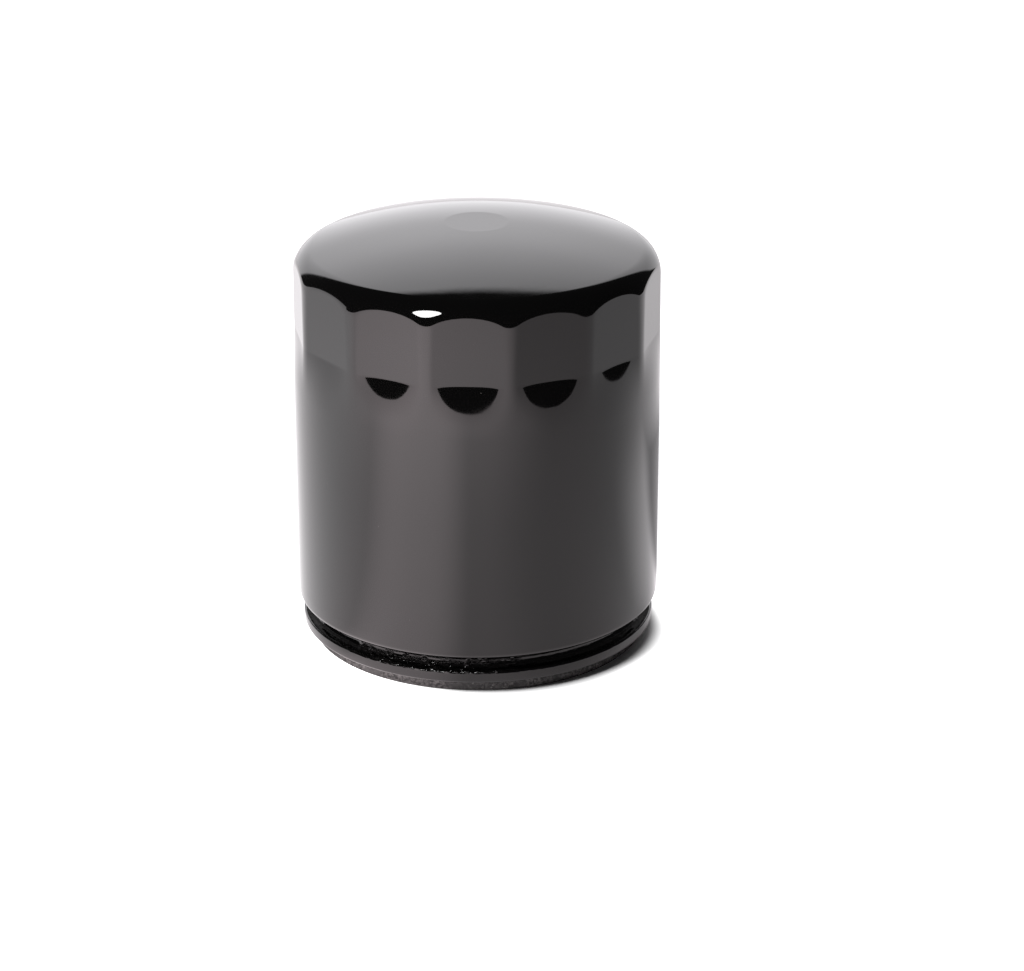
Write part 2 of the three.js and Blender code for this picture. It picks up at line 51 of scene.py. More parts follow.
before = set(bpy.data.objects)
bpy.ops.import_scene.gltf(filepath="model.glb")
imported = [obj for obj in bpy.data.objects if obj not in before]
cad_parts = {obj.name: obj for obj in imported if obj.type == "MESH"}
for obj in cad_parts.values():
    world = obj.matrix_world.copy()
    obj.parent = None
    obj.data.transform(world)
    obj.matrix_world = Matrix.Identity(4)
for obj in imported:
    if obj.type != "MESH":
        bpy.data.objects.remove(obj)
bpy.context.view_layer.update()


def box_mm(node):
    """A CAD node's lowest and highest corners, in millimetres."""
    low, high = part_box(node)
    return low / MM, high / MM


# ------------------------ driving dimensions

CAN_LOW, CAN_HIGH = box_mm("can")
CAN_RADIUS = CAN_HIGH.x
CAN_WALL = 0.5
CROWN_RADIUS = 111.5
CROWN_FLAT_RADIUS = 6.6
CROWN_FLAT_Z = CAN_HIGH.z
SHOULDER_RADIUS = 5.8

FLUTES = 14
FLUTE_FLAT = 37.1
FLUTE_BOTTOM = 66.9
RUNOUT_LENGTH = 11.3
RIDGE_BLEND = 0.68  # rounds the ridge where two flats meet
CREASE_BLEND = 0.34  # rounds the crease where a flat meets the shoulder
CROWN_PLAIN_RADIUS = 20  # the flutes leave the crown inside this radius as it is

BODY_BOTTOM = 8.1
BODY_CORNER = 1.5
PAINT_RUN_SIDE = (-14, 0)  # the side of the groove where the paint ran: azimuth, elevation
NECK_RADIUS = 34.3
SEAM_RADIUS = 37.1
SEAM_TOP = 5.0
SEAM_BOTTOM = CAN_LOW.z
HOOK_END_RADIUS = 35.4

LID_WALL = 0.6
LID_TOP = SEAM_TOP - CAN_WALL
LID_FLANGE_BOTTOM = LID_TOP - LID_WALL
SPOT_WELDS = 8
SPOT_WELD_CIRCLE = 25.4
SPOT_WELD_EDGE = (1.1, 0.6)
SPOT_WELD_DEPTH = 0.14

THREAD_MAJOR = 19.05 / 2
THREAD_PITCH = 25.4 / 16
THREAD_DEPTH = 0.86
HUB_RADIUS = 11.6
HUB_ROOT_RADIUS = 13.4
HUB_LEDGE = 11.4
PLATE_RADIUS = 33.5
PLATE_TOP = 8.1
INLETS = 8
INLET_RADIUS = 3.5
INLET_CIRCLE = 19.4

SHEET = 0.5  # of the end caps, the bypass cage and the spring's seat
CAP_HOLE = 12.0
CAP_GROOVE = (24.0, 1.4, 0.3)  # radius, half width and depth of a cap's stiffening groove
PLEATS = 44
PAPER = 0.7
MEDIA_INNER = 14.2
PLEAT_TIP = 0.8  # half the width of a pleat's outer bend, to the middle of the sheet
CLIPPED_TIP = 0.55
PLEAT_FOLD = 0.5
POTTING_INNER = 13.6
TUBE_WALL = 0.6
TUBE_HOLES = 8
TUBE_ROWS = 5
TUBE_HOLE_RADIUS = 2.2
TUBE_FIRST_ROW = 22.0
TUBE_ROW_PITCH = 7.6

PORT_RADIUS = 6.5
BYPASS_COIL = {"wire": 0.9, "turns": 5.5, "flat_turns": 0.8, "steps": 48, "sides": 14}
ELEMENT_COIL = {"wire": 2.0, "top_radius": 10.0, "turns": 3.5, "flat_turns": 0.7, "steps": 72, "sides": 20}

# The studio. Its directions are an azimuth and an elevation: azimuth 0 is the camera's side, 90 its right.
VIEW_TURN = -10.59  # from the part's -Y axis to the camera's side
VIEW_PITCH = 21.99
VIEW_DISTANCE = 694.2
VIEW_TARGET = (7.25, 0.0, 31.1)  # across, depth and height
LENS = 115.8
SENSOR = 36.0

FLOOR_FRONT, FLOOR_FRONT_LEFT = 335, 60  # where the floor ends, and how much further it runs at the left
FLOOR_LEFT, FLOOR_BACK = 1100, 1700
# The colour of the floor's painted glow, pinker on the camera's side. Only the paint's reflections show it,
# and the camera sees white.
FLOOR_GLOW_TINT, FLOOR_FRONT_GLOW_TINT = (1.0, 0.96, 0.98), (1.0, 0.88, 0.905)
FLOOR_GLOW = 0.8
DIM_SIDE, DIM_GLOW = (60, 0), 0.46
LEFT_SIDE, LEFT_GLOW = (-105, 0), 0.38
POOL_SIDE, POOL_EDGE, POOL_GLOW = (-33, 0), 0.86, 1.12
FLOOR_FILLS = (  # side, how it gathers there, distances from where it is nothing to where it is full, glow
    ((-30, 0), (0.25, 0.8), (115, 250), 0.75),
    ((175, 0), (0.4, 0.8), (130, 260), 0.18),
    ((118, 0), (0.8, 0.98), (170, 110), 0.4),
)
SHADOW_SIDE, SHADOW_SPREAD, SHADOW_END, SHADOW_GLOW = (145, 0), (0.85, 0.95), (110, 170), 0.25
# Painted contact shadow: the floor's glow, and what the camera sees of it, fades to nothing close to the
# base, round a point moved a little to one side.
CONTACT_SHADOW_SIDE, CONTACT_SHADOW_SHIFT, CONTACT_SHADOW_EDGE = (70, 0), 3.5, (33, 37.5)
SEEN_GLOW = 0.68  # what the camera sees on top of what the paint mirrors

WALL_TINT = (1.0, 0.985, 1.01, 1.0)
WALL_MIDDLE, WALL_EDGE = (-178, 12), (0.758, 0.795)
WALL_LEFT, WALL_RIGHT = 2.8, 2.04
WALL_FADES = (  # direction, where along it the wall fades from and to, what is left of it there
    ((-90, 0), (0.05, 0.45), 0.8),
    ((90, 0), (0.05, 0.45), 0.74),
    ((0, -90), (-0.52, -0.25), 0.75),
    ((0, 90), (0.6, 0.8), 0.91),
)
ROOM_GLOW = 0.03

KEY_SIDE, KEY_REACH, KEY_HEIGHT = -32, 200, 228
KEY_AIM = (0, 0, 20)
KEY_SIZE = (64, 112)
KEY_RADIANCE = 28


# ------------------------ directions and outlines


def studio(across, depth, height):
    """A place or direction in the studio, turned from the camera's directions to the part's."""
    turn = math.radians(VIEW_TURN)
    x = across * math.cos(turn) - depth * math.sin(turn)
    y = across * math.sin(turn) + depth * math.cos(turn)
    return Vector((x, y, height))


def towards(azimuth, elevation):
    """A direction: azimuth 0 is the camera's side and 90 its right, elevation is above the floor."""
    a, e = math.radians(azimuth), math.radians(elevation)
    return studio(math.sin(a) * math.cos(e), -math.cos(a) * math.cos(e), math.sin(e))


def arc(centre_r, centre_z, radius, start, end, steps):
    """Points on an arc in the (radius, height) plane, from one angle to another in degrees."""
    angles = np.radians(np.linspace(start, end, steps + 1))
    return [(centre_r + radius * math.cos(a), centre_z + radius * math.sin(a)) for a in angles]


def round_axis(radius, angle, height):
    """The point at a radius and an angle round the Z axis, and at a height."""
    return radius * math.cos(angle), radius * math.sin(angle), height


def rounded(corners, radius, steps=5, closed=True):
    """Rounds an outline's corners. A corner is (x, y), or (x, y, radius) to have its own radius."""
    outline = []
    for i, corner in enumerate(corners):
        here = Vector(corner[:2])
        bend = corner[2] if len(corner) > 2 else radius
        is_end = not closed and i in (0, len(corners) - 1)
        if is_end or bend == 0:
            outline.append(tuple(here))
            continue
        before = Vector(corners[i - 1][:2]) - here
        after = Vector(corners[(i + 1) % len(corners)][:2]) - here
        half = before.angle(after) / 2
        reach = min(bend / math.tan(half), 0.48 * before.length, 0.48 * after.length)
        bend = reach * math.tan(half)
        middle = (before.normalized() + after.normalized()).normalized()
        centre = here + middle * (bend / math.sin(half))
        first = here + before.normalized() * reach - centre
        last = here + after.normalized() * reach - centre
        sweep = math.atan2(first.x * last.y - first.y * last.x, first.dot(last))
        start = math.atan2(first.y, first.x)
        for k in range(steps + 1):
            angle = start + sweep * k / steps
            outline.append((centre.x + bend * math.cos(angle), centre.y + bend * math.sin(angle)))
    return outline


def smooth_min(a, b, blend):
    """The smaller of two lengths, with the corner between them rounded off over blend."""
    near = max(blend - abs(a - b), 0.0) / blend
    return min(a, b) - near * near * blend / 4


def smoothstep(low, high, value):
    share = min(max((value - low) / (high - low), 0.0), 1.0)
    return share * share * (3 - 2 * share)


# ------------------------ meshes


def cleaned(mesh):
    """Merges doubled points and turns every face outwards."""
    work = bmesh.new()
    work.from_mesh(mesh)
    bmesh.ops.remove_doubles(work, verts=work.verts, dist=1e-7)
    bmesh.ops.recalc_face_normals(work, faces=work.faces)
    work.to_mesh(mesh)
    work.free()
    return mesh


def finished(name, mesh, material, sharp=38):
    """Makes an object of a mesh, smooth but for edges sharper than an angle, and gives it its material."""
    cleaned(mesh)
    mesh.shade_smooth()
    mesh.set_sharp_from_angle(angle=math.radians(sharp))
    mesh.materials.clear()
    mesh.materials.append(material)
    made = bpy.data.objects.new(name, mesh)
    bpy.context.scene.collection.objects.link(made)
    return made


def mesh_of(name, vertices, faces):
    mesh = bpy.data.meshes.new(name)
    mesh.from_pydata((np.asarray(vertices, float) * MM).tolist(), [], faces)
    return mesh


def grid_faces(columns, rows, close_columns=True, close_rows=True):
    """Quads between the points of a grid. The grid may close on itself both ways."""
    faces = []
    for column in range(columns if close_columns else columns - 1):
        here = column * rows
        there = (column + 1) % columns * rows
        for row in range(rows if close_rows else rows - 1):
            up = (row + 1) % rows
            faces.append((here + row, there + row, there + up, here + up))
    return faces


def rod_faces(layers, count):
    """Quads round a rod of ring-shaped layers, and a flat face on each end."""
    ends = [tuple(range(count))[::-1], tuple(range((layers - 1) * count, layers * count))]
    return grid_faces(layers, count, close_columns=False) + ends


def turned_mesh(name, outline, segments, place=None, closed=True):
    """Turns (radius, height) points about the Z axis. place(radius, angle, height) moves each point."""
    vertices = []
    for k in range(segments):
        angle = math.tau * k / segments
        for radius, height in outline:
            if place:
                radius, height = place(radius, angle, height)
            vertices.append(round_axis(radius, angle, height))
    return mesh_of(name, vertices, grid_faces(segments, len(outline), close_rows=closed))


def wire_mesh(name, path, radius, sides):
    """A round wire along a path of points, with rounded ends."""
    points = [Vector(p) for p in path]
    count = len(points)
    side = (points[1] - points[0]).orthogonal().normalized()
    vertices = []
    for i, point in enumerate(points):
        along = (points[min(i + 1, count - 1)] - points[max(i - 1, 0)]).normalized()
        side = (side - along * side.dot(along)).normalized()
        up = along.cross(side)
        end = min(i, count - 1 - i)
        thin = (0.55, 0.88)[end] if end < 2 else 1.0
        for k in range(sides):
            angle = math.tau * k / sides
            vertices.append(point + (side * math.cos(angle) + up * math.sin(angle)) * radius * thin)
    return mesh_of(name, vertices, rod_faces(count, sides))


def coil_path(bottom, top, radius, coil):
    """A coil whose end turns lie level. Its height and radius change only between them."""
    path = []
    top_radius = coil.get("top_radius", radius)
    steps = int(coil["turns"] * coil["steps"])
    for i in range(steps + 1):
        turn = coil["turns"] * i / steps
        share = smoothstep(coil["flat_turns"], coil["turns"] - coil["flat_turns"], turn)
        reach = radius + (top_radius - radius) * share
        path.append(round_axis(reach, math.tau * turn, bottom + (top - bottom) * share))
    return path


def turns(count, offset=0.0):
    """Equal turns about the Z axis. offset is in steps."""
    return [Matrix.Rotation(math.tau * (k + offset) / count, 4, "Z") for k in range(count)]


def cut_mesh(mesh, plug, matrices):
    """Subtracts copies of one closed plug, each put in place by its matrix, from a closed mesh."""
    work = bmesh.new()
    for matrix in matrices:
        copy = plug.copy()
        copy.transform(matrix)
        work.from_mesh(copy)
    cutter = bpy.data.meshes.new("cutter")
    work.to_mesh(cutter)
    work.free()
    body = bpy.data.objects.new("uncut", cleaned(mesh))
    tool = bpy.data.objects.new("tool", cleaned(cutter))
    for shape in (body, tool):
        bpy.context.scene.collection.objects.link(shape)
    cut = body.modifiers.new("cut", "BOOLEAN")
    cut.operation = "DIFFERENCE"
    cut.solver = "EXACT"
    cut.object = tool
    evaluated = body.evaluated_get(bpy.context.evaluated_depsgraph_get())
    result = bpy.data.meshes.new_from_object(evaluated)
    bpy.data.objects.remove(body)
    bpy.data.objects.remove(tool)
    return result


def stand_in(piece, body, *nodes):
    """Puts a finished piece on its CAD body, in place of the plain CAD nodes."""
    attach(piece, body)
    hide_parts(*nodes)
    return piece


def turned_piece(name, body, node, outline, segments, material, place=None, closed=True):
    """A piece that is turned about the Z axis and stands in for one CAD node."""
    mesh = turned_mesh(name, outline, segments, place, closed)
    stand_in(finished(name, mesh, material), body, node)


# ------------------------ materials


class Nodes:
    """Short ways to add nodes to a material's or a world's tree."""

    def __init__(self, tree, coordinates):
        self.nodes = tree.nodes
        self.links = tree.links
        self.coordinates = self.node("TexCoord", {}).outputs[coordinates]

    def node(self, kind, inputs):
        """A new node. Each of its inputs is linked to a socket or set to a value."""
        node = self.nodes.new("ShaderNode" + kind)
        for key, value in inputs.items():
            if isinstance(value, bpy.types.NodeSocket):
                self.links.new(value, node.inputs[key])
            else:
                node.inputs[key].default_value = value
        return node

    def ramp(self, value, low, high, out_low=0.0, out_high=1.0):
        """Takes values from low to high to values from out_low to out_high."""
        inputs = {"Value": value, "From Min": low, "From Max": high, "To Min": out_low, "To Max": out_high}
        node = self.node("MapRange", inputs)
        node.interpolation_type = "SMOOTHSTEP"
        return node.outputs["Result"]

    def math(self, operation, a, b):
        node = self.node("Math", {0: a, 1: b})
        node.operation = operation
        return node.outputs["Value"]

    def multiply(self, a, b):
        return self.math("MULTIPLY", a, b)

    def add(self, a, b):
        return self.math("ADD", a, b)

    def vector_math(self, operation, vector, other=(0, 0, 0)):
        node = self.node("VectorMath", {0: vector, 1: other})
        node.operation = operation
        return node.outputs

    def along(self, vector, direction, reach, out_low, out_high):
        """How far a vector goes in a direction, an azimuth and an elevation, taken to a range."""
        distance = self.vector_math("DOT_PRODUCT", vector, towards(*direction))["Value"]
        return self.ramp(distance, *reach, out_low, out_high)

    def camera_ray(self):
        return self.node("LightPath", {}).outputs["Is Camera Ray"]


class Shader(Nodes):
    """A Principled material and short ways to add patterns to it."""

    def __init__(self, name, **values):
        self.material = bpy.data.materials.new(name)
        self.material.use_nodes = True
        super().__init__(self.material.node_tree, "Object")
        self.shader = self.nodes["Principled BSDF"]
        for socket, value in values.items():
            self.shader.inputs[socket.replace("_", " ")].default_value = value

    def stretched(self, x, y, z):
        """Object coordinates, in metres, scaled on each axis."""
        return self.node("Mapping", {"Scale": (x, y, z), "Vector": self.coordinates}).outputs["Vector"]

    def noise(self, scale, detail=3.0, rough=0.5, vector=None):
        inputs = {"Scale": scale, "Detail": detail, "Roughness": rough}
        inputs["Vector"] = vector or self.coordinates
        return self.node("TexNoise", inputs).outputs["Fac"]

    def cells(self, scale):
        """Distance to the nearest of many scattered points."""
        return self.node("TexVoronoi", {"Scale": scale, "Vector": self.coordinates}).outputs["Distance"]

    def mix(self, share, a, b):
        """A colour between two colours, each a tuple or a socket."""
        a, b = ((*colour, 1.0) if isinstance(colour, tuple) else colour for colour in (a, b))
        node = self.node("Mix", {"Factor": share, 6: a, 7: b})
        node.data_type = "RGBA"
        return node.outputs[2]

    def facing(self, side, reach, out_low, out_high):
        """How nearly a point lies on one side of the Z axis, taken to a range."""
        level = self.vector_math("NORMALIZE", self.stretched(1, 1, 0))["Vector"]
        return self.along(level, side, reach, out_low, out_high)

    def away_from(self, place, reach, out_low, out_high):
        """How far a point is from a place, in millimetres, taken to a range."""
        distance = self.vector_math("DISTANCE", self.coordinates, place * MM)["Value"]
        return self.ramp(distance, reach[0] * MM, reach[1] * MM, out_low, out_high)

    def bump(self, height, strength, depth):
        """Adds a bump on top of those already there."""
        node = self.node("Bump", {"Strength": strength, "Distance": depth * MM, "Height": height})
        normal = self.shader.inputs["Normal"]
        if normal.is_linked:
            self.links.new(normal.links[0].from_socket, node.inputs["Normal"])
        self.links.new(node.outputs["Normal"], normal)

    def drive(self, socket, value):
        self.links.new(value, self.shader.inputs[socket])

    def colour(self, pattern, reach, a, b):
        """The base colour goes from one colour to another as a pattern goes over its reach."""
        self.drive("Base Color", self.mix(self.ramp(pattern, *reach), a, b))

    def roughness(self, pattern, reach, out_low, out_high):
        self.drive("Roughness", self.ramp(pattern, *reach, out_low, out_high))


def gloss_black_paint():
    """Baked enamel: almost no colour of its own, a faint orange peel, a few dust nibs and smudges.

    In the groove over the seam it dried in drips and beads, most of them on PAINT_RUN_SIDE."""
    paint = Shader("gloss_black_paint", IOR=1.5)
    patchy = paint.ramp(paint.noise(60, 2), 0.5, 0.64)
    dust = paint.multiply(paint.ramp(paint.cells(420), 0.035, 0.02), patchy)
    paint.drive("Base Color", paint.mix(dust, (0.0016, 0.0015, 0.0015), (0.14, 0.13, 0.125)))
    smudge = paint.ramp(paint.noise(38, 5, 0.6), 0.42, 0.72, 0.035, 0.1)
    paint.drive("Roughness", paint.add(smudge, paint.multiply(dust, 0.4)))
    place = paint.node("SeparateXYZ", {"Vector": paint.coordinates})
    under = paint.ramp(place.outputs["Z"], (SEAM_TOP + 2.4) * MM, (SEAM_TOP + 1.2) * MM)
    over = paint.ramp(place.outputs["Z"], (SEAM_TOP - 0.45) * MM, SEAM_TOP * MM)
    pooled = paint.facing(PAINT_RUN_SIDE, (0.8, 0.97), 0.06, 1.0)
    groove = paint.multiply(paint.multiply(under, over), pooled)
    drips = paint.ramp(paint.noise(1, 3, 0.6, paint.stretched(260, 260, 2400)), 0.5, 0.64)
    paint.bump(paint.multiply(groove, drips), 1.0, 0.08)
    beads = paint.ramp(paint.cells(640), 0.5, 0.0)
    paint.bump(paint.multiply(groove, beads), 1.0, 0.4)
    paint.bump(paint.noise(480, 1), 0.12, 0.02)
    paint.bump(paint.noise(70, 2), 0.2, 0.04)
    return paint.material


def tinned_steel():
    """Tin-plated sheet with fine rolling lines and dull, handled patches."""
    tin = Shader("tinned_steel", Metallic=1.0)
    rolled = tin.noise(1, 4, 0.7, tin.stretched(60, 2600, 60))
    worn = tin.noise(90, 5, 0.65)
    spangle = tin.cells(260)
    tin.colour(worn, (0.35, 0.7), (0.7, 0.705, 0.7), (0.48, 0.48, 0.465))
    dull = tin.ramp(worn, 0.3, 0.75, 0.2, 0.4)
    tin.drive("Roughness", tin.add(dull, tin.multiply(spangle, 0.06)))
    tin.bump(rolled, 0.25, 0.03)
    return tin.material


def oiled_steel():
    """Hot-rolled steel under a film of oil: mottled grey-brown, with bright rubbed patches."""
    steel = Shader("oiled_steel", Metallic=1.0, Coat_Weight=0.35, Coat_Roughness=0.12)
    scale = steel.noise(120, 6, 0.7)
    stain = steel.noise(45, 3)
    grey = steel.mix(steel.ramp(scale, 0.35, 0.65), (0.4, 0.395, 0.385), (0.25, 0.245, 0.24))
    brown = steel.ramp(stain, 0.5, 0.75, 0.0, 0.6)
    steel.drive("Base Color", steel.mix(brown, grey, (0.24, 0.19, 0.14)))
    steel.roughness(scale, (0.3, 0.7), 0.26, 0.46)
    steel.bump(scale, 0.35, 0.05)
    return steel.material


def spring_steel():
    """Drawn wire, dark and slightly streaked along its length."""
    wire = Shader("spring_steel", Metallic=1.0)
    streak = wire.noise(300, 5, 0.7)
    wire.colour(streak, (0.35, 0.65), (0.36, 0.355, 0.35), (0.2, 0.195, 0.19))
    wire.roughness(streak, (0.3, 0.7), 0.22, 0.42)
    wire.bump(streak, 0.3, 0.03)
    return wire.material


def black_rubber():
    """Moulded nitrile with a grainy skin and the pale grit of the workshop bench ground into it."""
    rubber = Shader("black_rubber", IOR=1.5)
    grain = rubber.noise(1500, 5, 0.75)
    patches = rubber.ramp(rubber.noise(130, 4, 0.6), 0.32, 0.62)
    dust = rubber.multiply(rubber.ramp(grain, 0.42, 0.62), patches)
    flecks = rubber.ramp(rubber.cells(1100), 0.3, 0.12)
    flecks = rubber.multiply(flecks, rubber.ramp(rubber.noise(300, 2), 0.45, 0.6))
    pale = rubber.multiply(rubber.math("MAXIMUM", dust, flecks), 0.6)
    rubber.drive("Base Color", rubber.mix(pale, (0.022, 0.0215, 0.0215), (0.25, 0.243, 0.24)))
    rubber.roughness(patches, (0.0, 1.0), 0.45, 0.8)
    rubber.bump(grain, 0.6, 0.12)
    return rubber.material


def red_rubber():
    """Moulded silicone with a satin skin and a film of talc."""
    rubber = Shader("red_rubber", IOR=1.43)
    talc = rubber.noise(220, 5, 0.65)
    rubber.colour(talc, (0.45, 0.8), (0.36, 0.055, 0.026), (0.5, 0.2, 0.15))
    rubber.roughness(talc, (0.3, 0.7), 0.42, 0.62)
    rubber.bump(rubber.noise(1600, 3), 0.25, 0.04)
    rubber.shader.inputs["Subsurface Weight"].default_value = 0.08
    rubber.shader.inputs["Subsurface Radius"].default_value = (0.002, 0.0008, 0.0005)
    return rubber.material


def filter_paper():
    """Resin-treated cellulose: matted fibres, and embossed lines that keep the pleats apart."""
    paper = Shader("filter_paper")
    fibre = paper.noise(1400, 8, 0.75)
    cloud = paper.noise(170, 4, 0.6)
    lines = paper.node("TexWave", {"Scale": 95, "Distortion": 0.4, "Vector": paper.coordinates})
    lines.bands_direction = "Z"
    tone = paper.mix(paper.ramp(cloud, 0.3, 0.7), (0.62, 0.43, 0.2), (0.5, 0.33, 0.14))
    paper.colour(fibre, (0.4, 0.75), tone, (0.72, 0.55, 0.31))
    paper.roughness(fibre, (0.3, 0.7), 0.75, 0.95)
    paper.bump(fibre, 0.5, 0.06)
    paper.bump(lines.outputs["Fac"], 0.4, 0.12)
    return paper.material


def plastisol():
    """Cured grey adhesive with small bubbles."""
    resin = Shader("plastisol", IOR=1.5)
    cloud = resin.noise(140, 4)
    bubbles = resin.ramp(resin.cells(700), 0.3, 0.1)
    resin.colour(cloud, (0.3, 0.7), (0.2, 0.205, 0.19), (0.27, 0.275, 0.255))
    resin.roughness(cloud, (0.3, 0.7), 0.35, 0.6)
    resin.bump(bubbles, 0.35, 0.1)
    return resin.material


def seam_compound():
    """Sealing compound squeezed in the seam."""
    compound = Shader("seam_compound")
    lumps = compound.noise(500, 4)
    compound.drive("Base Color", compound.mix(lumps, (0.05, 0.05, 0.048), (0.1, 0.1, 0.095)))
    compound.roughness(lumps, (0.3, 0.7), 0.45, 0.75)
    compound.bump(lumps, 0.6, 0.15)
    return compound.material


PAINT = gloss_black_paint()
TIN = tinned_steel()
STEEL = oiled_steel()
WIRE = spring_steel()
RUBBER = black_rubber()
SILICONE = red_rubber()
PAPER_MATERIAL = filter_paper()
RESIN = plastisol()
COMPOUND = seam_compound()


# ------------------------ can

CROWN_CENTRE = CROWN_FLAT_Z - math.sqrt(CROWN_RADIUS**2 - CROWN_FLAT_RADIUS**2)
SHOULDER_R = CAN_RADIUS - SHOULDER_RADIUS
SHOULDER_Z = CROWN_CENTRE + math.sqrt((CROWN_RADIUS - SHOULDER_RADIUS) ** 2 - SHOULDER_R**2)
SHOULDER_DEGREES = math.degrees(math.atan2(SHOULDER_Z - CROWN_CENTRE, SHOULDER_R))
FLUTE_COLUMNS = 36
RIDGE_CROWDING = 0.45  # how much closer together the columns stand at a ridge than on average


def can_angles():
    """The can's columns, crowded towards the ridges between the flats."""
    angles = []
    for k in range(FLUTES * FLUTE_COLUMNS):
        turn = k / FLUTE_COLUMNS
        crowded = turn + RIDGE_CROWDING * math.sin(math.tau * turn) / math.tau
        angles.append(crowded * math.tau / FLUTES)
    return angles


def crown_z(radius, inset=0.0):
    return CROWN_CENTRE + math.sqrt((CROWN_RADIUS - inset) ** 2 - radius**2)


def crown_rows():
    """From the pressed flat in the middle of the crown out to the shoulder."""
    rim = CROWN_RADIUS * math.cos(math.radians(SHOULDER_DEGREES))
    rows = [(0.0, CROWN_FLAT_Z), (3.0, CROWN_FLAT_Z)]
    for radius in np.linspace(5.6, 7.6, 11):
        share = smoothstep(6.1, 7.1, radius)
        rows.append((radius, CROWN_FLAT_Z + (crown_z(radius) - CROWN_FLAT_Z) * share))
    rows += [(radius, crown_z(radius)) for radius in np.linspace(9.0, rim, 16)[:-1]]
    return rows


def wall_rows():
    """Heights down the wall: close together where the flutes begin and end."""
    return [
        *np.linspace(SHOULDER_Z, SHOULDER_Z - 2.0, 6)[1:],
        *np.linspace(SHOULDER_Z - 3.5, FLUTE_BOTTOM + 1.2, 6),
        FLUTE_BOTTOM + 0.5, FLUTE_BOTTOM + 0.2,
        *np.linspace(FLUTE_BOTTOM, FLUTE_BOTTOM - RUNOUT_LENGTH, 28),
        *np.linspace(FLUTE_BOTTOM - RUNOUT_LENGTH - 3, BODY_BOTTOM + BODY_CORNER + 2, 8),
    ]


def can_outline():
    outside = crown_rows()
    outside += arc(SHOULDER_R, SHOULDER_Z, SHOULDER_RADIUS, SHOULDER_DEGREES, 0, 28)
    outside += [(CAN_RADIUS, z) for z in wall_rows()]
    outside += arc(CAN_RADIUS - BODY_CORNER, BODY_BOTTOM + BODY_CORNER, BODY_CORNER, 0, -90, 9)
    groove = (BODY_BOTTOM - SEAM_TOP) / 2 - 0.05
    outside += arc(NECK_RADIUS + groove, BODY_BOTTOM - groove, groove, 90, 180, 6)
    outside += arc(NECK_RADIUS + groove, SEAM_TOP + groove, groove, 180, 270, 10)
    seam = [
        (NECK_RADIUS + groove + 0.25, SEAM_TOP, 0), (NECK_RADIUS + groove + 0.5, SEAM_TOP, 0),
        (SEAM_RADIUS, SEAM_TOP, 0.4), (SEAM_RADIUS, SEAM_BOTTOM, 0.55),
        (HOOK_END_RADIUS, SEAM_BOTTOM, 0.22), (HOOK_END_RADIUS, SEAM_BOTTOM + CAN_WALL, 0.1),
    ]
    outside += rounded(seam, 0.4, closed=False)
    inner_corner = BODY_CORNER - CAN_WALL
    neck = [
        (HOOK_END_RADIUS, SEAM_BOTTOM + CAN_WALL, 0),
        (SEAM_RADIUS - CAN_WALL, SEAM_BOTTOM + CAN_WALL), (SEAM_RADIUS - CAN_WALL, LID_TOP),
        (NECK_RADIUS - CAN_WALL, LID_TOP, 0.3), (NECK_RADIUS - CAN_WALL, BODY_BOTTOM + CAN_WALL, 0.3),
        (CAN_RADIUS - BODY_CORNER, BODY_BOTTOM + CAN_WALL, 0),
    ]
    inside = rounded(neck, 0.15, 3, closed=False)
    inside += arc(CAN_RADIUS - BODY_CORNER, BODY_BOTTOM + BODY_CORNER, inner_corner, -90, 0, 4)[1:]
    inner_heights = [20.0, 38.0, FLUTE_BOTTOM - RUNOUT_LENGTH, 59.0, 62.0, 64.5, FLUTE_BOTTOM, 72.5]
    inside += [(CAN_RADIUS - CAN_WALL, z) for z in inner_heights]
    inside += arc(SHOULDER_R, SHOULDER_Z, SHOULDER_RADIUS - CAN_WALL, 0, SHOULDER_DEGREES, 10)
    inside += [(radius, crown_z(radius, CAN_WALL)) for radius in (24.0, 14.0, CROWN_FLAT_RADIUS)]
    inside.append((0.0, crown_z(CROWN_FLAT_RADIUS, CAN_WALL)))
    return outside, inside


def flute_radius(angle, height):
    """Distance from the axis to the pressed flats: two neighbours meet in a rounded ridge.

    Under FLUTE_BOTTOM the flats run out to the can's round wall, steeply at first."""
    pitch = math.tau / FLUTES
    off = abs(angle - pitch * round(angle / pitch))
    flat = smooth_min(FLUTE_FLAT / math.cos(off), FLUTE_FLAT / math.cos(pitch - off), RIDGE_BLEND)
    if height >= FLUTE_BOTTOM:
        return flat
    left = max(1 - (FLUTE_BOTTOM - height) / RUNOUT_LENGTH, 0.0)
    return CAN_RADIUS - (CAN_RADIUS - flat) * left * left


def paint_beads(radius, angle, height):
    """Height of the paint that ran to one side of the groove and dried there in beads and streaks."""
    x, y, _ = round_axis(radius, angle, height)
    pooled = smoothstep(0.7, 0.95, Vector((x, y, 0)).normalized().dot(towards(*PAINT_RUN_SIDE)))
    beads = noise.noise(Vector((x, y, height)) * 0.62)
    small = noise.noise(Vector((y, x, height)) * 1.3)
    runs = noise.noise(Vector((x, y, 6 * height)) * 0.3)
    lumps = 0.2 * smoothstep(0.0, 0.4, beads) + 0.1 * smoothstep(0.05, 0.4, small)
    return lumps * (0.08 + 0.92 * pooled) + 0.04 * runs


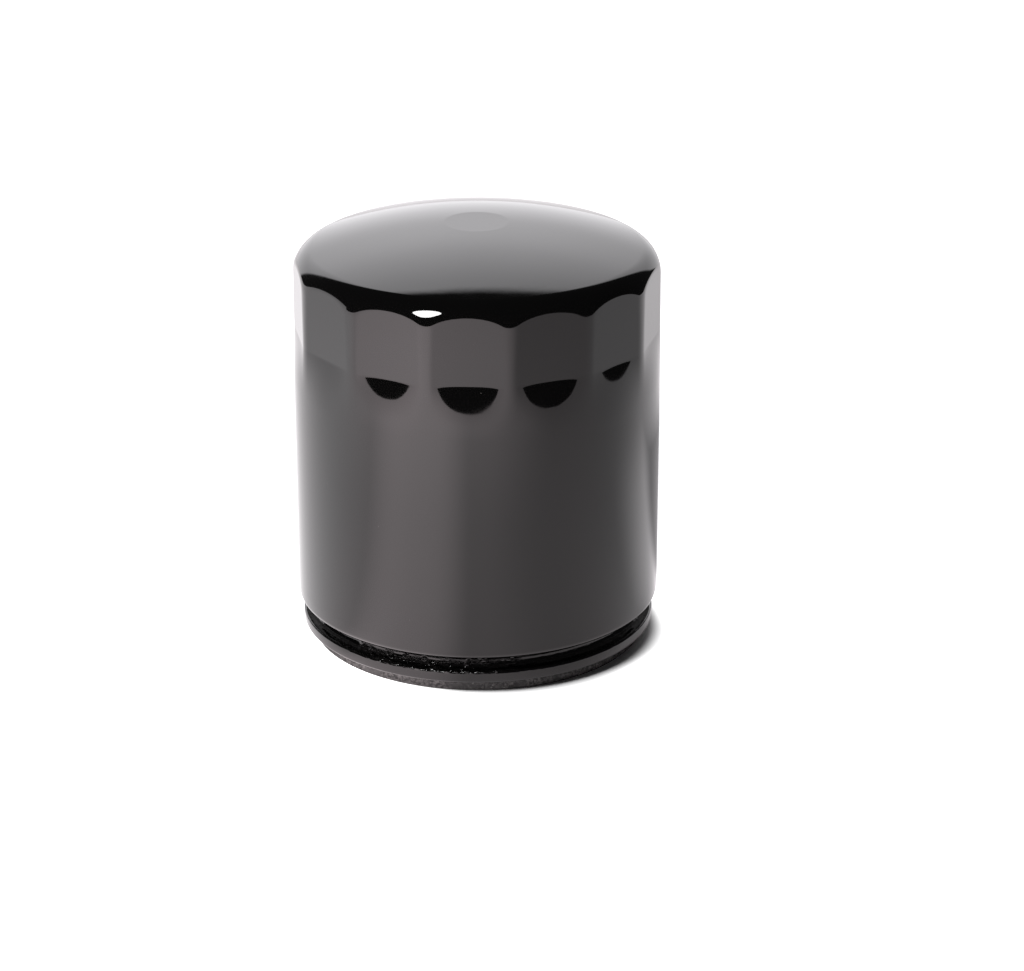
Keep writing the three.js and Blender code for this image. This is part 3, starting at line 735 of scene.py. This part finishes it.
def pressed(is_outside, radius, angle, height):
    """Presses the flutes into one skin of the can, and adds the paint's unevenness in the groove."""
    inset = 0.0 if is_outside else CAN_WALL
    if height > FLUTE_BOTTOM and radius > CROWN_PLAIN_RADIUS:
        blend = CREASE_BLEND * smoothstep(FLUTE_BOTTOM - 1, SHOULDER_Z, height)
        radius = smooth_min(radius, flute_radius(angle, height) - inset, blend)
    elif height > FLUTE_BOTTOM - RUNOUT_LENGTH:
        radius = min(radius, flute_radius(angle, height) - inset)
    if is_outside and SEAM_TOP - 0.3 < height < SEAM_TOP + 1.5:
        rise = paint_beads(radius, angle, height) * smoothstep(SEAM_TOP + 1.4, SEAM_TOP + 0.7, height)
        height += rise
        radius -= 0.4 * rise
    return radius, height


def make_can():
    outside, inside = can_outline()
    outline = [(True, *point) for point in outside] + [(False, *point) for point in inside]
    vertices = []
    angles = can_angles()
    for angle in angles:
        for is_outside, radius, height in outline:
            radius, height = pressed(is_outside, radius, angle, height)
            vertices.append(round_axis(radius, angle, height))
    mesh = mesh_of("can_shell", vertices, grid_faces(len(angles), len(outline), close_rows=False))
    stand_in(finished("can_shell", mesh, PAINT, 60), "housing", "can")


# ------------------------ lid, seam and gasket


def make_lid():
    low, high = box_mm("seaming_lid")
    hem_outer, hem_inner, hem_bottom = high.x, HOOK_END_RADIUS - 0.1, SEAM_BOTTOM + CAN_WALL + 0.1
    bead_outer, bead_inner, bead_bottom = 30.4, 27.0, low.z
    flange_edge = 24.0
    weld_rows = np.linspace(SPOT_WELD_CIRCLE + 1.2, SPOT_WELD_CIRCLE - 0.8, 6)
    corners = [
        (hem_outer, LID_TOP, 0.2), (hem_outer, hem_bottom, 0.2), (hem_inner, hem_bottom, 0.2),
        (hem_inner, LID_FLANGE_BOTTOM, 0.25), (bead_outer, LID_FLANGE_BOTTOM, 0.25),
        (bead_outer, bead_bottom, 0.75), (bead_inner, bead_bottom, 0.75),
        (bead_inner, LID_FLANGE_BOTTOM, 0.5),
        *((radius, LID_FLANGE_BOTTOM, 0) for radius in weld_rows),
        (flange_edge, LID_FLANGE_BOTTOM, 0.15), (flange_edge, LID_TOP, 0.05),
        (bead_inner + LID_WALL, LID_TOP, 0.2), (bead_inner + LID_WALL, bead_bottom + LID_WALL, 0.3),
        (bead_outer - LID_WALL, bead_bottom + LID_WALL, 0.3), (bead_outer - LID_WALL, LID_TOP, 0.2),
    ]

    def welded(radius, angle, height):
        """Sinks a round dimple at each spot weld, in the flange's outer face only."""
        step = math.tau / SPOT_WELDS
        nearest = step * (round(angle / step - 0.5) + 0.5)
        distance = math.hypot(radius - SPOT_WELD_CIRCLE, radius * (angle - nearest))
        if abs(height - LID_FLANGE_BOTTOM) < 0.01:
            height += SPOT_WELD_DEPTH * smoothstep(*SPOT_WELD_EDGE, distance)
        return radius, height

    turned_piece("seaming_lid_shell", "housing", "seaming_lid", rounded(corners, 0.2), 448, TIN, welded)


def make_sealant():
    low, high = box_mm("seam_sealant")
    inner = high.x - 0.45
    corners = [(inner, low.z), (high.x, low.z), (high.x, high.z), (inner, high.z)]

    def squeezed(radius, angle, height):
        bulge = noise.noise(Vector((math.cos(angle) * 14, math.sin(angle) * 14, height)))
        return min(radius + 0.04 * bulge, high.x), height

    outline = rounded(corners, 0.12, 3)
    turned_piece("seam_compound_ring", "housing", "seam_sealant", outline, 192, COMPOUND, squeezed)


def make_gasket():
    """A square ring with the faint line of the mould's joint round its outer face."""
    _, high = box_mm("mounting_gasket")
    inner, outer = 30.8, high.x
    flash, rise, half = 0.45 * high.z, 0.05, 0.07
    corners = [
        (inner, 0.0, 0.3), (outer, 0.0, 0.3), (outer, flash - half, 0), (outer + rise, flash, 0.02),
        (outer, flash + half, 0), (outer, high.z, 0.15), (inner, high.z, 0.15),
    ]

    def moulded(radius, angle, height):
        x, y, _ = round_axis(radius, angle, height)
        wave = noise.noise(Vector((0.17 * x, 0.17 * y, 0.8 * height)))
        grit = noise.noise(Vector((x, y, height)) * 1.4)
        share = smoothstep(0.0, 0.25, height) * smoothstep(high.z, high.z - 0.4, height)
        return radius + (0.05 * wave + 0.07 * grit) * share, height

    outline = rounded(corners, 0.3, 4)
    turned_piece("gasket_ring", "housing", "mounting_gasket", outline, 512, RUBBER, moulded)


# ------------------------ tapping plate


def thread_share(height, angle):
    """0 at the thread's crest, 1 at its root."""
    turn = height / THREAD_PITCH - angle / math.tau
    saw = abs(2 * (turn - math.floor(turn)) - 1)
    return min(max((saw - 0.12) / 0.76, 0.0), 1.0)


def make_tapping_plate():
    low, high = box_mm("tapping_plate")
    crest = THREAD_MAJOR - THREAD_DEPTH
    chamfer = 0.65
    mouth = crest + chamfer + 0.3
    corners = [
        (crest, low.z + chamfer, 0), (mouth, low.z, 0.12), (PLATE_RADIUS, low.z, 0.4),
        (PLATE_RADIUS, PLATE_TOP, 0.4), (HUB_ROOT_RADIUS, PLATE_TOP, 1.3),
        (HUB_ROOT_RADIUS, HUB_LEDGE, 0.35), (HUB_RADIUS, HUB_LEDGE, 0.12),
        (HUB_RADIUS, high.z, 0.35), (mouth, high.z, 0.12), (crest, high.z - chamfer, 0),
    ]
    outside = rounded(corners, 0.3, 6, closed=False)
    rows = 100
    bore = [(crest, z) for z in np.linspace(high.z - chamfer, low.z + chamfer, rows)[1:-1]]

    def threaded(radius, angle, height):
        if radius > crest + 0.01:
            return radius, height
        depth = THREAD_DEPTH * thread_share(height, angle)
        depth *= smoothstep(low.z + 0.3, low.z + 1.3, height)
        depth *= smoothstep(high.z - 0.3, high.z - 1.3, height)
        return crest + depth, height

    plate = turned_mesh("tapping_plate_solid", outside + bore, 144, threaded)
    flare = 0.35
    plug = [
        (0.0, low.z - 1.0), (INLET_RADIUS + flare + 1.0, low.z - 1.0),
        (INLET_RADIUS, low.z + flare), (INLET_RADIUS, PLATE_TOP - flare),
        (INLET_RADIUS + flare + 1.0, PLATE_TOP + 1.0), (0.0, PLATE_TOP + 1.0),
    ]
    matrices = [turn @ Matrix.Translation((INLET_CIRCLE * MM, 0, 0)) for turn in turns(INLETS)]
    plate = cut_mesh(plate, turned_mesh("inlet", plug, 40, closed=False), matrices)
    stand_in(finished("tapping_plate_solid", plate, STEEL, 32), "housing", "tapping_plate")


# ------------------------ anti-drainback valve


def make_drainback_valve():
    """One moulding: collar, thin sloping web, and a lip over the inlets. It stands in for the CAD's collar
    and flap.
    """
    collar_low, collar_high = box_mm("drainback_collar")
    flap_low, flap_high = box_mm("drainback_flap")
    inner = 11.8
    outer = collar_high.x
    lip = flap_high.x
    corners = [
        (inner, collar_low.z, 0.15), (outer, collar_low.z, 0.6),
        (lip - 1.8, flap_low.z + 0.32, 0.5), (lip - 0.9, flap_low.z, 0.35),
        (lip, flap_low.z + 0.15, 0.3), (lip, flap_low.z + 0.85, 0.3),
        (lip - 1.8, flap_low.z + 1.1, 0.5), (outer + 0.9, flap_high.z - 0.15, 0.4),
        (outer, flap_high.z + 0.4, 0.4), (outer, collar_high.z, 0.2),
        (inner + 1.5, collar_high.z, 0.1), (inner + 1.25, collar_high.z - 0.25, 0.1),
        (inner + 1.0, collar_high.z, 0.1), (inner, collar_high.z, 0.2),
    ]
    mesh = turned_mesh("drainback_diaphragm", rounded(corners, 0.3), 160)
    valve = finished("drainback_diaphragm", mesh, SILICONE)
    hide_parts("drainback_collar", "drainback_flap")
    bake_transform(valve)


# ------------------------ filter element


def make_end_cap(node, name, faces_up):
    """A pressed steel pan with a rolled rim. The lower one also has a collar round its hole."""
    low, high = box_mm(node)
    radius = high.x
    floor, rim, upward = (low.z, high.z, 1) if faces_up else (high.z, low.z, -1)
    inner_floor = floor + upward * SHEET
    corners = [
        (radius, floor, 0.9), (radius, rim, 0.12), (radius - SHEET, rim, 0.12),
        (radius - SHEET, inner_floor, 0.4),
    ]
    if faces_up:
        corners += [(CAP_HOLE + SHEET, inner_floor, 0.4), (CAP_HOLE + SHEET, rim, 0.12)]
        corners += [(CAP_HOLE, rim, 0.12), (CAP_HOLE, floor, 0.8)]
    else:
        corners += [(CAP_HOLE, inner_floor, 0.12), (CAP_HOLE, floor, 0.12)]
    ring, width, depth = CAP_GROOVE
    corners += [
        (ring - width, floor, 0.4), (ring - width / 2, floor + upward * depth, 0.4),
        (ring + width / 2, floor + upward * depth, 0.4), (ring + width, floor, 0.4),
    ]
    turned_piece(name, "element", node, rounded(corners, 0.2), 160, TIN)


def make_potting(node, name, paper_side):
    """Adhesive that rose a little round the paper. paper_side is +1 where the paper stands above it."""
    low, high = box_mm(node)
    inner, outer = POTTING_INNER, high.x
    wet, dry = (high.z, low.z) if paper_side > 0 else (low.z, high.z)
    across = np.linspace(inner, outer, 16)[1:-1]
    surface = [(radius, wet, 0) for radius in across]
    corners = [(inner, dry), (inner, wet), *surface, (outer, wet), (outer, dry)]

    def wetted(radius, angle, height):
        is_wet = abs(height - wet) < abs(height - dry)
        inside = smoothstep(inner, inner + 2, radius) * smoothstep(outer, outer - 2, radius)
        dip = 0.14 + 0.14 * math.cos(PLEATS * angle) + 0.06 * noise.noise(Vector((radius, 9 * angle, 0)))
        return radius, height - (paper_side * dip * inside if is_wet else 0.0)

    turned_piece(name, "element", node, rounded(corners, 0.25, 3), PLEATS * 8, RESIN, wetted)


def make_center_tube():
    """A perforated tube, with the holes of each row between those of the next."""
    low, high = box_mm("center_tube")
    inner = high.x - TUBE_WALL
    wall = [(inner, low.z), (high.x, low.z), (high.x, high.z), (inner, high.z)]
    tube = turned_mesh("center_tube_shell", rounded(wall, 0.12, 2), 160)
    near, far = inner - 3, high.x + 1
    plug = [(0.0, near), (TUBE_HOLE_RADIUS, near), (TUBE_HOLE_RADIUS, far), (0.0, far)]
    aim = Matrix.Rotation(math.pi / 2, 4, "Y")
    matrices = []
    for row in range(TUBE_ROWS):
        height = Matrix.Translation((0, 0, (TUBE_FIRST_ROW + row * TUBE_ROW_PITCH) * MM))
        matrices += [height @ turn @ aim for turn in turns(TUBE_HOLES, row % 2 / 2)]
    tube = cut_mesh(tube, turned_mesh("hole", plug, 24, closed=False), matrices)
    stand_in(finished("center_tube_shell", tube, STEEL, 32), "element", "center_tube")


def offset_outline(outline, distance):
    """Moves a closed outline sideways by a distance."""
    moved = []
    for i, point in enumerate(outline):
        before = Vector(outline[i - 1])
        after = Vector(outline[(i + 1) % len(outline)])
        along = (after - before).normalized()
        moved.append((point[0] + along.y * distance, point[1] - along.x * distance))
    return moved


def make_media():
    """The pleated sheet: straight walls with round tips and folds, each pleat a little uneven."""
    low, high = box_mm("filter_media")
    outer = high.x - PAPER / 2
    inner = MEDIA_INNER + PAPER / 2
    pitch = math.tau / PLEATS
    zigzag = []

    def turn_back(radius, middle, half_width):
        """The two corners of a bend, rounded until they meet."""
        for side in (-1, 1):
            angle = middle + side * half_width / radius
            zigzag.append(round_axis(radius, angle, 0.95 * half_width))

    for k in range(PLEATS):
        lean = 0.12 * pitch * noise.noise(Vector((k * 1.7, 0, 0))) if k else 0.0
        turn_back(outer, k * pitch + lean, PLEAT_TIP if k else CLIPPED_TIP)
        turn_back(inner, (k + 0.5) * pitch, PLEAT_FOLD)
    centre_line = rounded(zigzag, 0.5)
    skins = offset_outline(centre_line, PAPER / 2), offset_outline(centre_line, -PAPER / 2)
    rows = np.linspace(low.z, high.z, 15)
    vertices = []
    count = len(centre_line)
    for skin in skins:
        for height in rows:
            sway = math.sin(math.pi * (height - low.z) / (high.z - low.z))
            for x, y in skin:
                radius = math.hypot(x, y)
                angle = math.atan2(y, x)
                if abs(angle) > pitch:
                    wave = noise.noise(Vector((3 * math.cos(angle), 3 * math.sin(angle), height / 16)))
                    angle += 0.02 * sway * wave
                vertices.append(round_axis(radius, angle, height))
    front = grid_faces(len(rows), count, close_columns=False)
    back = len(rows) * count
    faces = front + [tuple(point + back for point in face[::-1]) for face in front]
    for rim in (0, back - count):
        for k in range(count):
            a, b = rim + k, rim + (k + 1) % count
            faces.append((a, b, b + back, a + back))
    mesh = mesh_of("pleated_paper", vertices, faces)
    stand_in(finished("pleated_paper", mesh, PAPER_MATERIAL, 50), "element", "filter_media")


def make_seam_clip():
    """The folded strip that pinches the paper's two ends, crimped every few millimetres."""
    low, high = box_mm("media_seam_clip")
    sheet = 0.35
    half = high.y - sheet
    back = high.x - sheet
    corners = [
        (low.x, -half - sheet, 0.1), (high.x, -half - sheet, 0.7), (high.x, half + sheet, 0.7),
        (low.x, half + sheet, 0.1), (low.x, half, 0.1), (back, half, 0.4), (back, -half, 0.4),
        (low.x, -half, 0.1),
    ]
    outline = rounded(corners, 0.2)
    rows = np.linspace(low.z, high.z, 90)
    crimp_pitch = 4.4
    vertices = []
    for height in rows:
        phase = (height - low.z) / crimp_pitch % 1.0
        pinch = 0.22 * smoothstep(0.3, 0.4, phase) * smoothstep(0.7, 0.6, phase)
        for x, y in outline:
            leg = smoothstep(back - 0.3, back - 1.2, x) * smoothstep(low.x, low.x + 0.6, x)
            vertices.append((x, y - math.copysign(pinch * leg, y), height))
    mesh = mesh_of("seam_clip_strip", vertices, rod_faces(len(rows), len(outline)))
    stand_in(finished("seam_clip_strip", mesh, TIN, 40), "element", "media_seam_clip")


# ------------------------ bypass valve


def make_bypass_seat():
    low, high = box_mm("bypass_seat")
    plate = 0.7
    under = high.z - plate
    skirt = (11.0, 11.6)
    corners = [
        (PORT_RADIUS, under, 0.1), (skirt[0], under, 0.5), (skirt[0], low.z, 0.15),
        (skirt[1], low.z, 0.25), (skirt[1], under, 0.15), (high.x, under, 0.2),
        (high.x, high.z, 0.3), (PORT_RADIUS + 1.2, high.z, 0.2),
        (PORT_RADIUS + 0.8, high.z - 0.25, 0.1), (PORT_RADIUS, high.z - 0.25, 0.15),
    ]
    turned_piece("bypass_seat_pressing", "element", "bypass_seat", rounded(corners, 0.2), 128, TIN)


def make_bypass_cage():
    low, high = box_mm("bypass_cage")
    floor = low.z + 0.6
    floor_hole = 3.4
    corners = [
        (floor_hole, low.z, 0.15), (high.x, low.z, 1.0), (high.x, high.z, 0.12),
        (high.x - SHEET, high.z, 0.12), (high.x - SHEET, floor, 0.5), (floor_hole, floor, 0.15),
    ]
    cage = turned_mesh("bypass_cage_pressing", rounded(corners, 0.2), 144)
    side, bottom, top = 4.5, 60.1, 67.1
    window = rounded([(-side, bottom), (side, bottom), (side, top), (-side, top)], 1.1, 5)
    vertices = [(reach, y, z) for reach in (high.x - 3, high.x + 3) for y, z in window]
    plug = mesh_of("window", vertices, rod_faces(2, len(window)))
    cage = cut_mesh(cage, plug, turns(4, 0.5))
    stand_in(finished("bypass_cage_pressing", cage, TIN, 32), "element", "bypass_cage")


def make_bypass_poppet():
    low, high = box_mm("bypass_poppet")
    disc_top = high.z - 0.5
    disc_bottom = disc_top - 1.3
    corners = [
        (0.0, low.z, 0), (3.2, low.z, 0.6), (3.2, disc_bottom, 0.5), (high.x, disc_bottom, 0.35),
        (high.x, disc_top, 0.2), (5.0, disc_top, 0.1), (4.5, high.z, 0.25), (0.0, high.z, 0),
    ]
    outline = rounded(corners, 0.3, closed=False)
    turned_piece("bypass_poppet_disc", "bypass_valve", "bypass_poppet", outline, 96, STEEL, closed=False)


def make_bypass_seal():
    low, high = box_mm("bypass_seal")
    inner = 5.3
    lip = 7.0
    corners = [
        (inner, low.z, 0.1), (high.x, low.z, 0.2), (high.x, high.z - 0.15, 0.15),
        (lip + 0.7, high.z - 0.15, 0.1), (lip + 0.3, high.z, 0.12), (lip - 0.3, high.z, 0.12),
        (lip - 0.7, high.z - 0.15, 0.1), (inner, high.z - 0.15, 0.15),
    ]
    turned_piece("bypass_seal_ring", "bypass_valve", "bypass_seal", rounded(corners, 0.1, 4), 128, RUBBER)


# ------------------------ springs


def make_spring_seat():
    low, high = box_mm("spring_seat")
    step_in, step_out = 9.0, 15.6
    top = box_mm("bypass_seat")[1].z + 0.05
    corners = [
        (step_in, top, 0.15), (step_out - SHEET, top, 0.2), (step_out, low.z, 0.3),
        (high.x, low.z, 0.7), (high.x, high.z, 0.12), (high.x - SHEET, high.z, 0.12),
        (high.x - SHEET, low.z + SHEET, 0.4), (step_out + SHEET, low.z + SHEET, 0.3),
        (step_out, top + SHEET, 0.4), (step_in, top + SHEET, 0.15),
    ]
    turned_piece("spring_seat_pressing", "element", "spring_seat", rounded(corners, 0.2), 144, TIN)


def make_spring(node, name, body, coil):
    """A coil of round wire that fills its CAD node's box, set on its CAD body in place of that node."""
    ends = box_mm(node)
    low, high = ends
    half = coil["wire"] / 2
    path = coil_path(low.z + half, high.z - half, high.x - half, coil)
    wire = wire_mesh(name, path, half, coil["sides"])
    spring = stand_in(finished(name, wire, WIRE, 60), body, node)
    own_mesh(spring)


# ------------------------ studio


def floor_outline():
    """A round front edge ahead of the filter, and straight sides that run far back behind it."""
    corners = ((-FLOOR_LEFT, 0), (-FLOOR_LEFT, FLOOR_BACK), (FLOOR_FRONT, FLOOR_BACK))
    outline = [studio(across, depth, 0) for across, depth in corners]
    for azimuth in range(90, -91, -5):
        leftward = max(-math.sin(math.radians(azimuth)), 0)
        outline.append(towards(azimuth, 0) * (FLOOR_FRONT + FLOOR_FRONT_LEFT * leftward))
    return outline


def floor_paper():
    """Pale paper whose glow is what the paint mirrors, with a painted pool of light and a painted shadow in
    it. The camera sees it plain and pale, but for a painted contact shadow round the filter's base.
    """
    sheet = Shader("floor_paper", Roughness=0.9, Specular_IOR_Level=0.0)
    sheet.drive("Base Color", sheet.mix(sheet.noise(40, 3), (0.86, 0.86, 0.865), (0.88, 0.88, 0.885)))
    seen = sheet.camera_ray()
    front = sheet.facing((0, 0), (-0.1, 0.7), 0.0, 1.0)
    # Painted reflection colour: the glow's tint, which the camera does not see.
    glow_tint = sheet.mix(front, FLOOR_GLOW_TINT, FLOOR_FRONT_GLOW_TINT)
    sheet.drive("Emission Color", sheet.mix(seen, glow_tint, (1.0, 1.0, 1.0)))
    glow = sheet.facing(DIM_SIDE, (0.55, 0.97), FLOOR_GLOW, DIM_GLOW)
    glow = sheet.add(glow, sheet.facing(LEFT_SIDE, (0.1, 0.9), 0.0, LEFT_GLOW))
    glow = sheet.add(glow, sheet.facing(POOL_SIDE, (POOL_EDGE, 1.0), 0.0, POOL_GLOW))
    for side, gathered, reach, fill_glow in FLOOR_FILLS:
        fill = sheet.away_from(Vector(), reach, 0.0, fill_glow)
        glow = sheet.add(glow, sheet.multiply(fill, sheet.facing(side, gathered, 0.0, 1.0)))
    shadow = sheet.facing(SHADOW_SIDE, SHADOW_SPREAD, 1.0, SHADOW_GLOW)
    beyond = sheet.away_from(Vector(), SHADOW_END, 0.0, 1.0)
    glow = sheet.multiply(glow, sheet.math("MAXIMUM", shadow, beyond))
    glow = sheet.add(glow, sheet.multiply(seen, SEEN_GLOW))
    # Painted contact shadow: all of the glow fades out close to the filter's base.
    contact_shadow_centre = towards(*CONTACT_SHADOW_SIDE) * CONTACT_SHADOW_SHIFT
    sheet.drive("Emission Strength", sheet.multiply(glow, sheet.away_from(contact_shadow_centre, CONTACT_SHADOW_EDGE, 0.0, 1.0)))
    return sheet.material


def make_floor():
    outline = floor_outline()
    mesh = mesh_of("floor", outline, [tuple(range(len(outline)))[::-1]])
    mesh.materials.append(floor_paper())
    floor = bpy.data.objects.new("floor", mesh)
    bpy.context.scene.collection.objects.link(floor)


def make_key_light():
    """An oval softbox. Its power follows from how bright its face is."""
    place = towards(KEY_SIDE, 0) * KEY_REACH + Vector((0, 0, KEY_HEIGHT))
    data = bpy.data.lights.new("key_softbox", "AREA")
    data.shape = "ELLIPSE"
    data.size = KEY_SIZE[0] * MM
    data.size_y = KEY_SIZE[1] * MM
    face = math.pi * data.size * data.size_y / 4
    data.energy = KEY_RADIANCE * math.pi * face
    light = bpy.data.objects.new("key_softbox", data)
    light.location = place * MM
    light.rotation_mode = "QUATERNION"
    light.rotation_quaternion = (place - Vector(KEY_AIM)).to_track_quat("Z", "Y")
    light.visible_camera = False
    bpy.context.scene.collection.objects.link(light)


def make_world():
    """A dark room with one large bright wall behind the filter. The camera itself sees plain white."""
    world = bpy.data.worlds.new("studio")
    bpy.context.scene.world = world
    world.use_nodes = True
    world.node_tree.nodes.clear()
    sky = Nodes(world.node_tree, "Generated")
    brightness = sky.along(sky.coordinates, (90, 0), (-0.6, 0.6), WALL_LEFT, WALL_RIGHT)
    for direction, reach, dimmest in WALL_FADES:
        brightness = sky.multiply(brightness, sky.along(sky.coordinates, direction, reach, 1.0, dimmest))
    wall = sky.along(sky.coordinates, WALL_MIDDLE, WALL_EDGE, 0.0, 1.0)
    brightness = sky.add(sky.multiply(wall, brightness), ROOM_GLOW)
    room = sky.node("Background", {"Color": WALL_TINT, "Strength": brightness}).outputs["Background"]
    white = sky.node("Background", {"Color": (1, 1, 1, 1)}).outputs["Background"]
    choose = sky.node("MixShader", {"Fac": sky.camera_ray(), 1: room, 2: white})
    sky.node("OutputWorld", {"Surface": choose.outputs["Shader"]})


def make_camera():
    camera = bpy.data.objects.new("camera", bpy.data.cameras.new("camera"))
    camera.data.lens = LENS
    camera.data.sensor_width = SENSOR
    camera.data.clip_start = 0.01
    away = towards(0, VIEW_PITCH)
    camera.location = (studio(*VIEW_TARGET) + away * VIEW_DISTANCE) * MM
    camera.rotation_mode = "QUATERNION"
    camera.rotation_quaternion = away.to_track_quat("Z", "Y")
    bpy.context.scene.collection.objects.link(camera)
    bpy.context.scene.camera = camera


# ------------------------ the whole filter

make_can()
make_lid()
make_sealant()
make_gasket()
make_tapping_plate()
make_drainback_valve()
make_end_cap("lower_end_cap", "lower_cap_pressing", True)
make_end_cap("upper_end_cap", "upper_cap_pressing", False)
make_potting("lower_potting", "lower_potting_ring", 1)
make_potting("upper_potting", "upper_potting_ring", -1)
make_center_tube()
make_media()
make_seam_clip()
make_bypass_seat()
make_bypass_cage()
make_bypass_poppet()
make_bypass_seal()
make_spring("bypass_spring", "bypass_coil", "element", BYPASS_COIL)
make_spring_seat()
make_spring("element_spring", "element_coil", "housing", ELEMENT_COIL)
make_floor()
make_key_light()
make_world()
make_camera()
bpy.context.scene.view_settings.view_transform = "Standard"
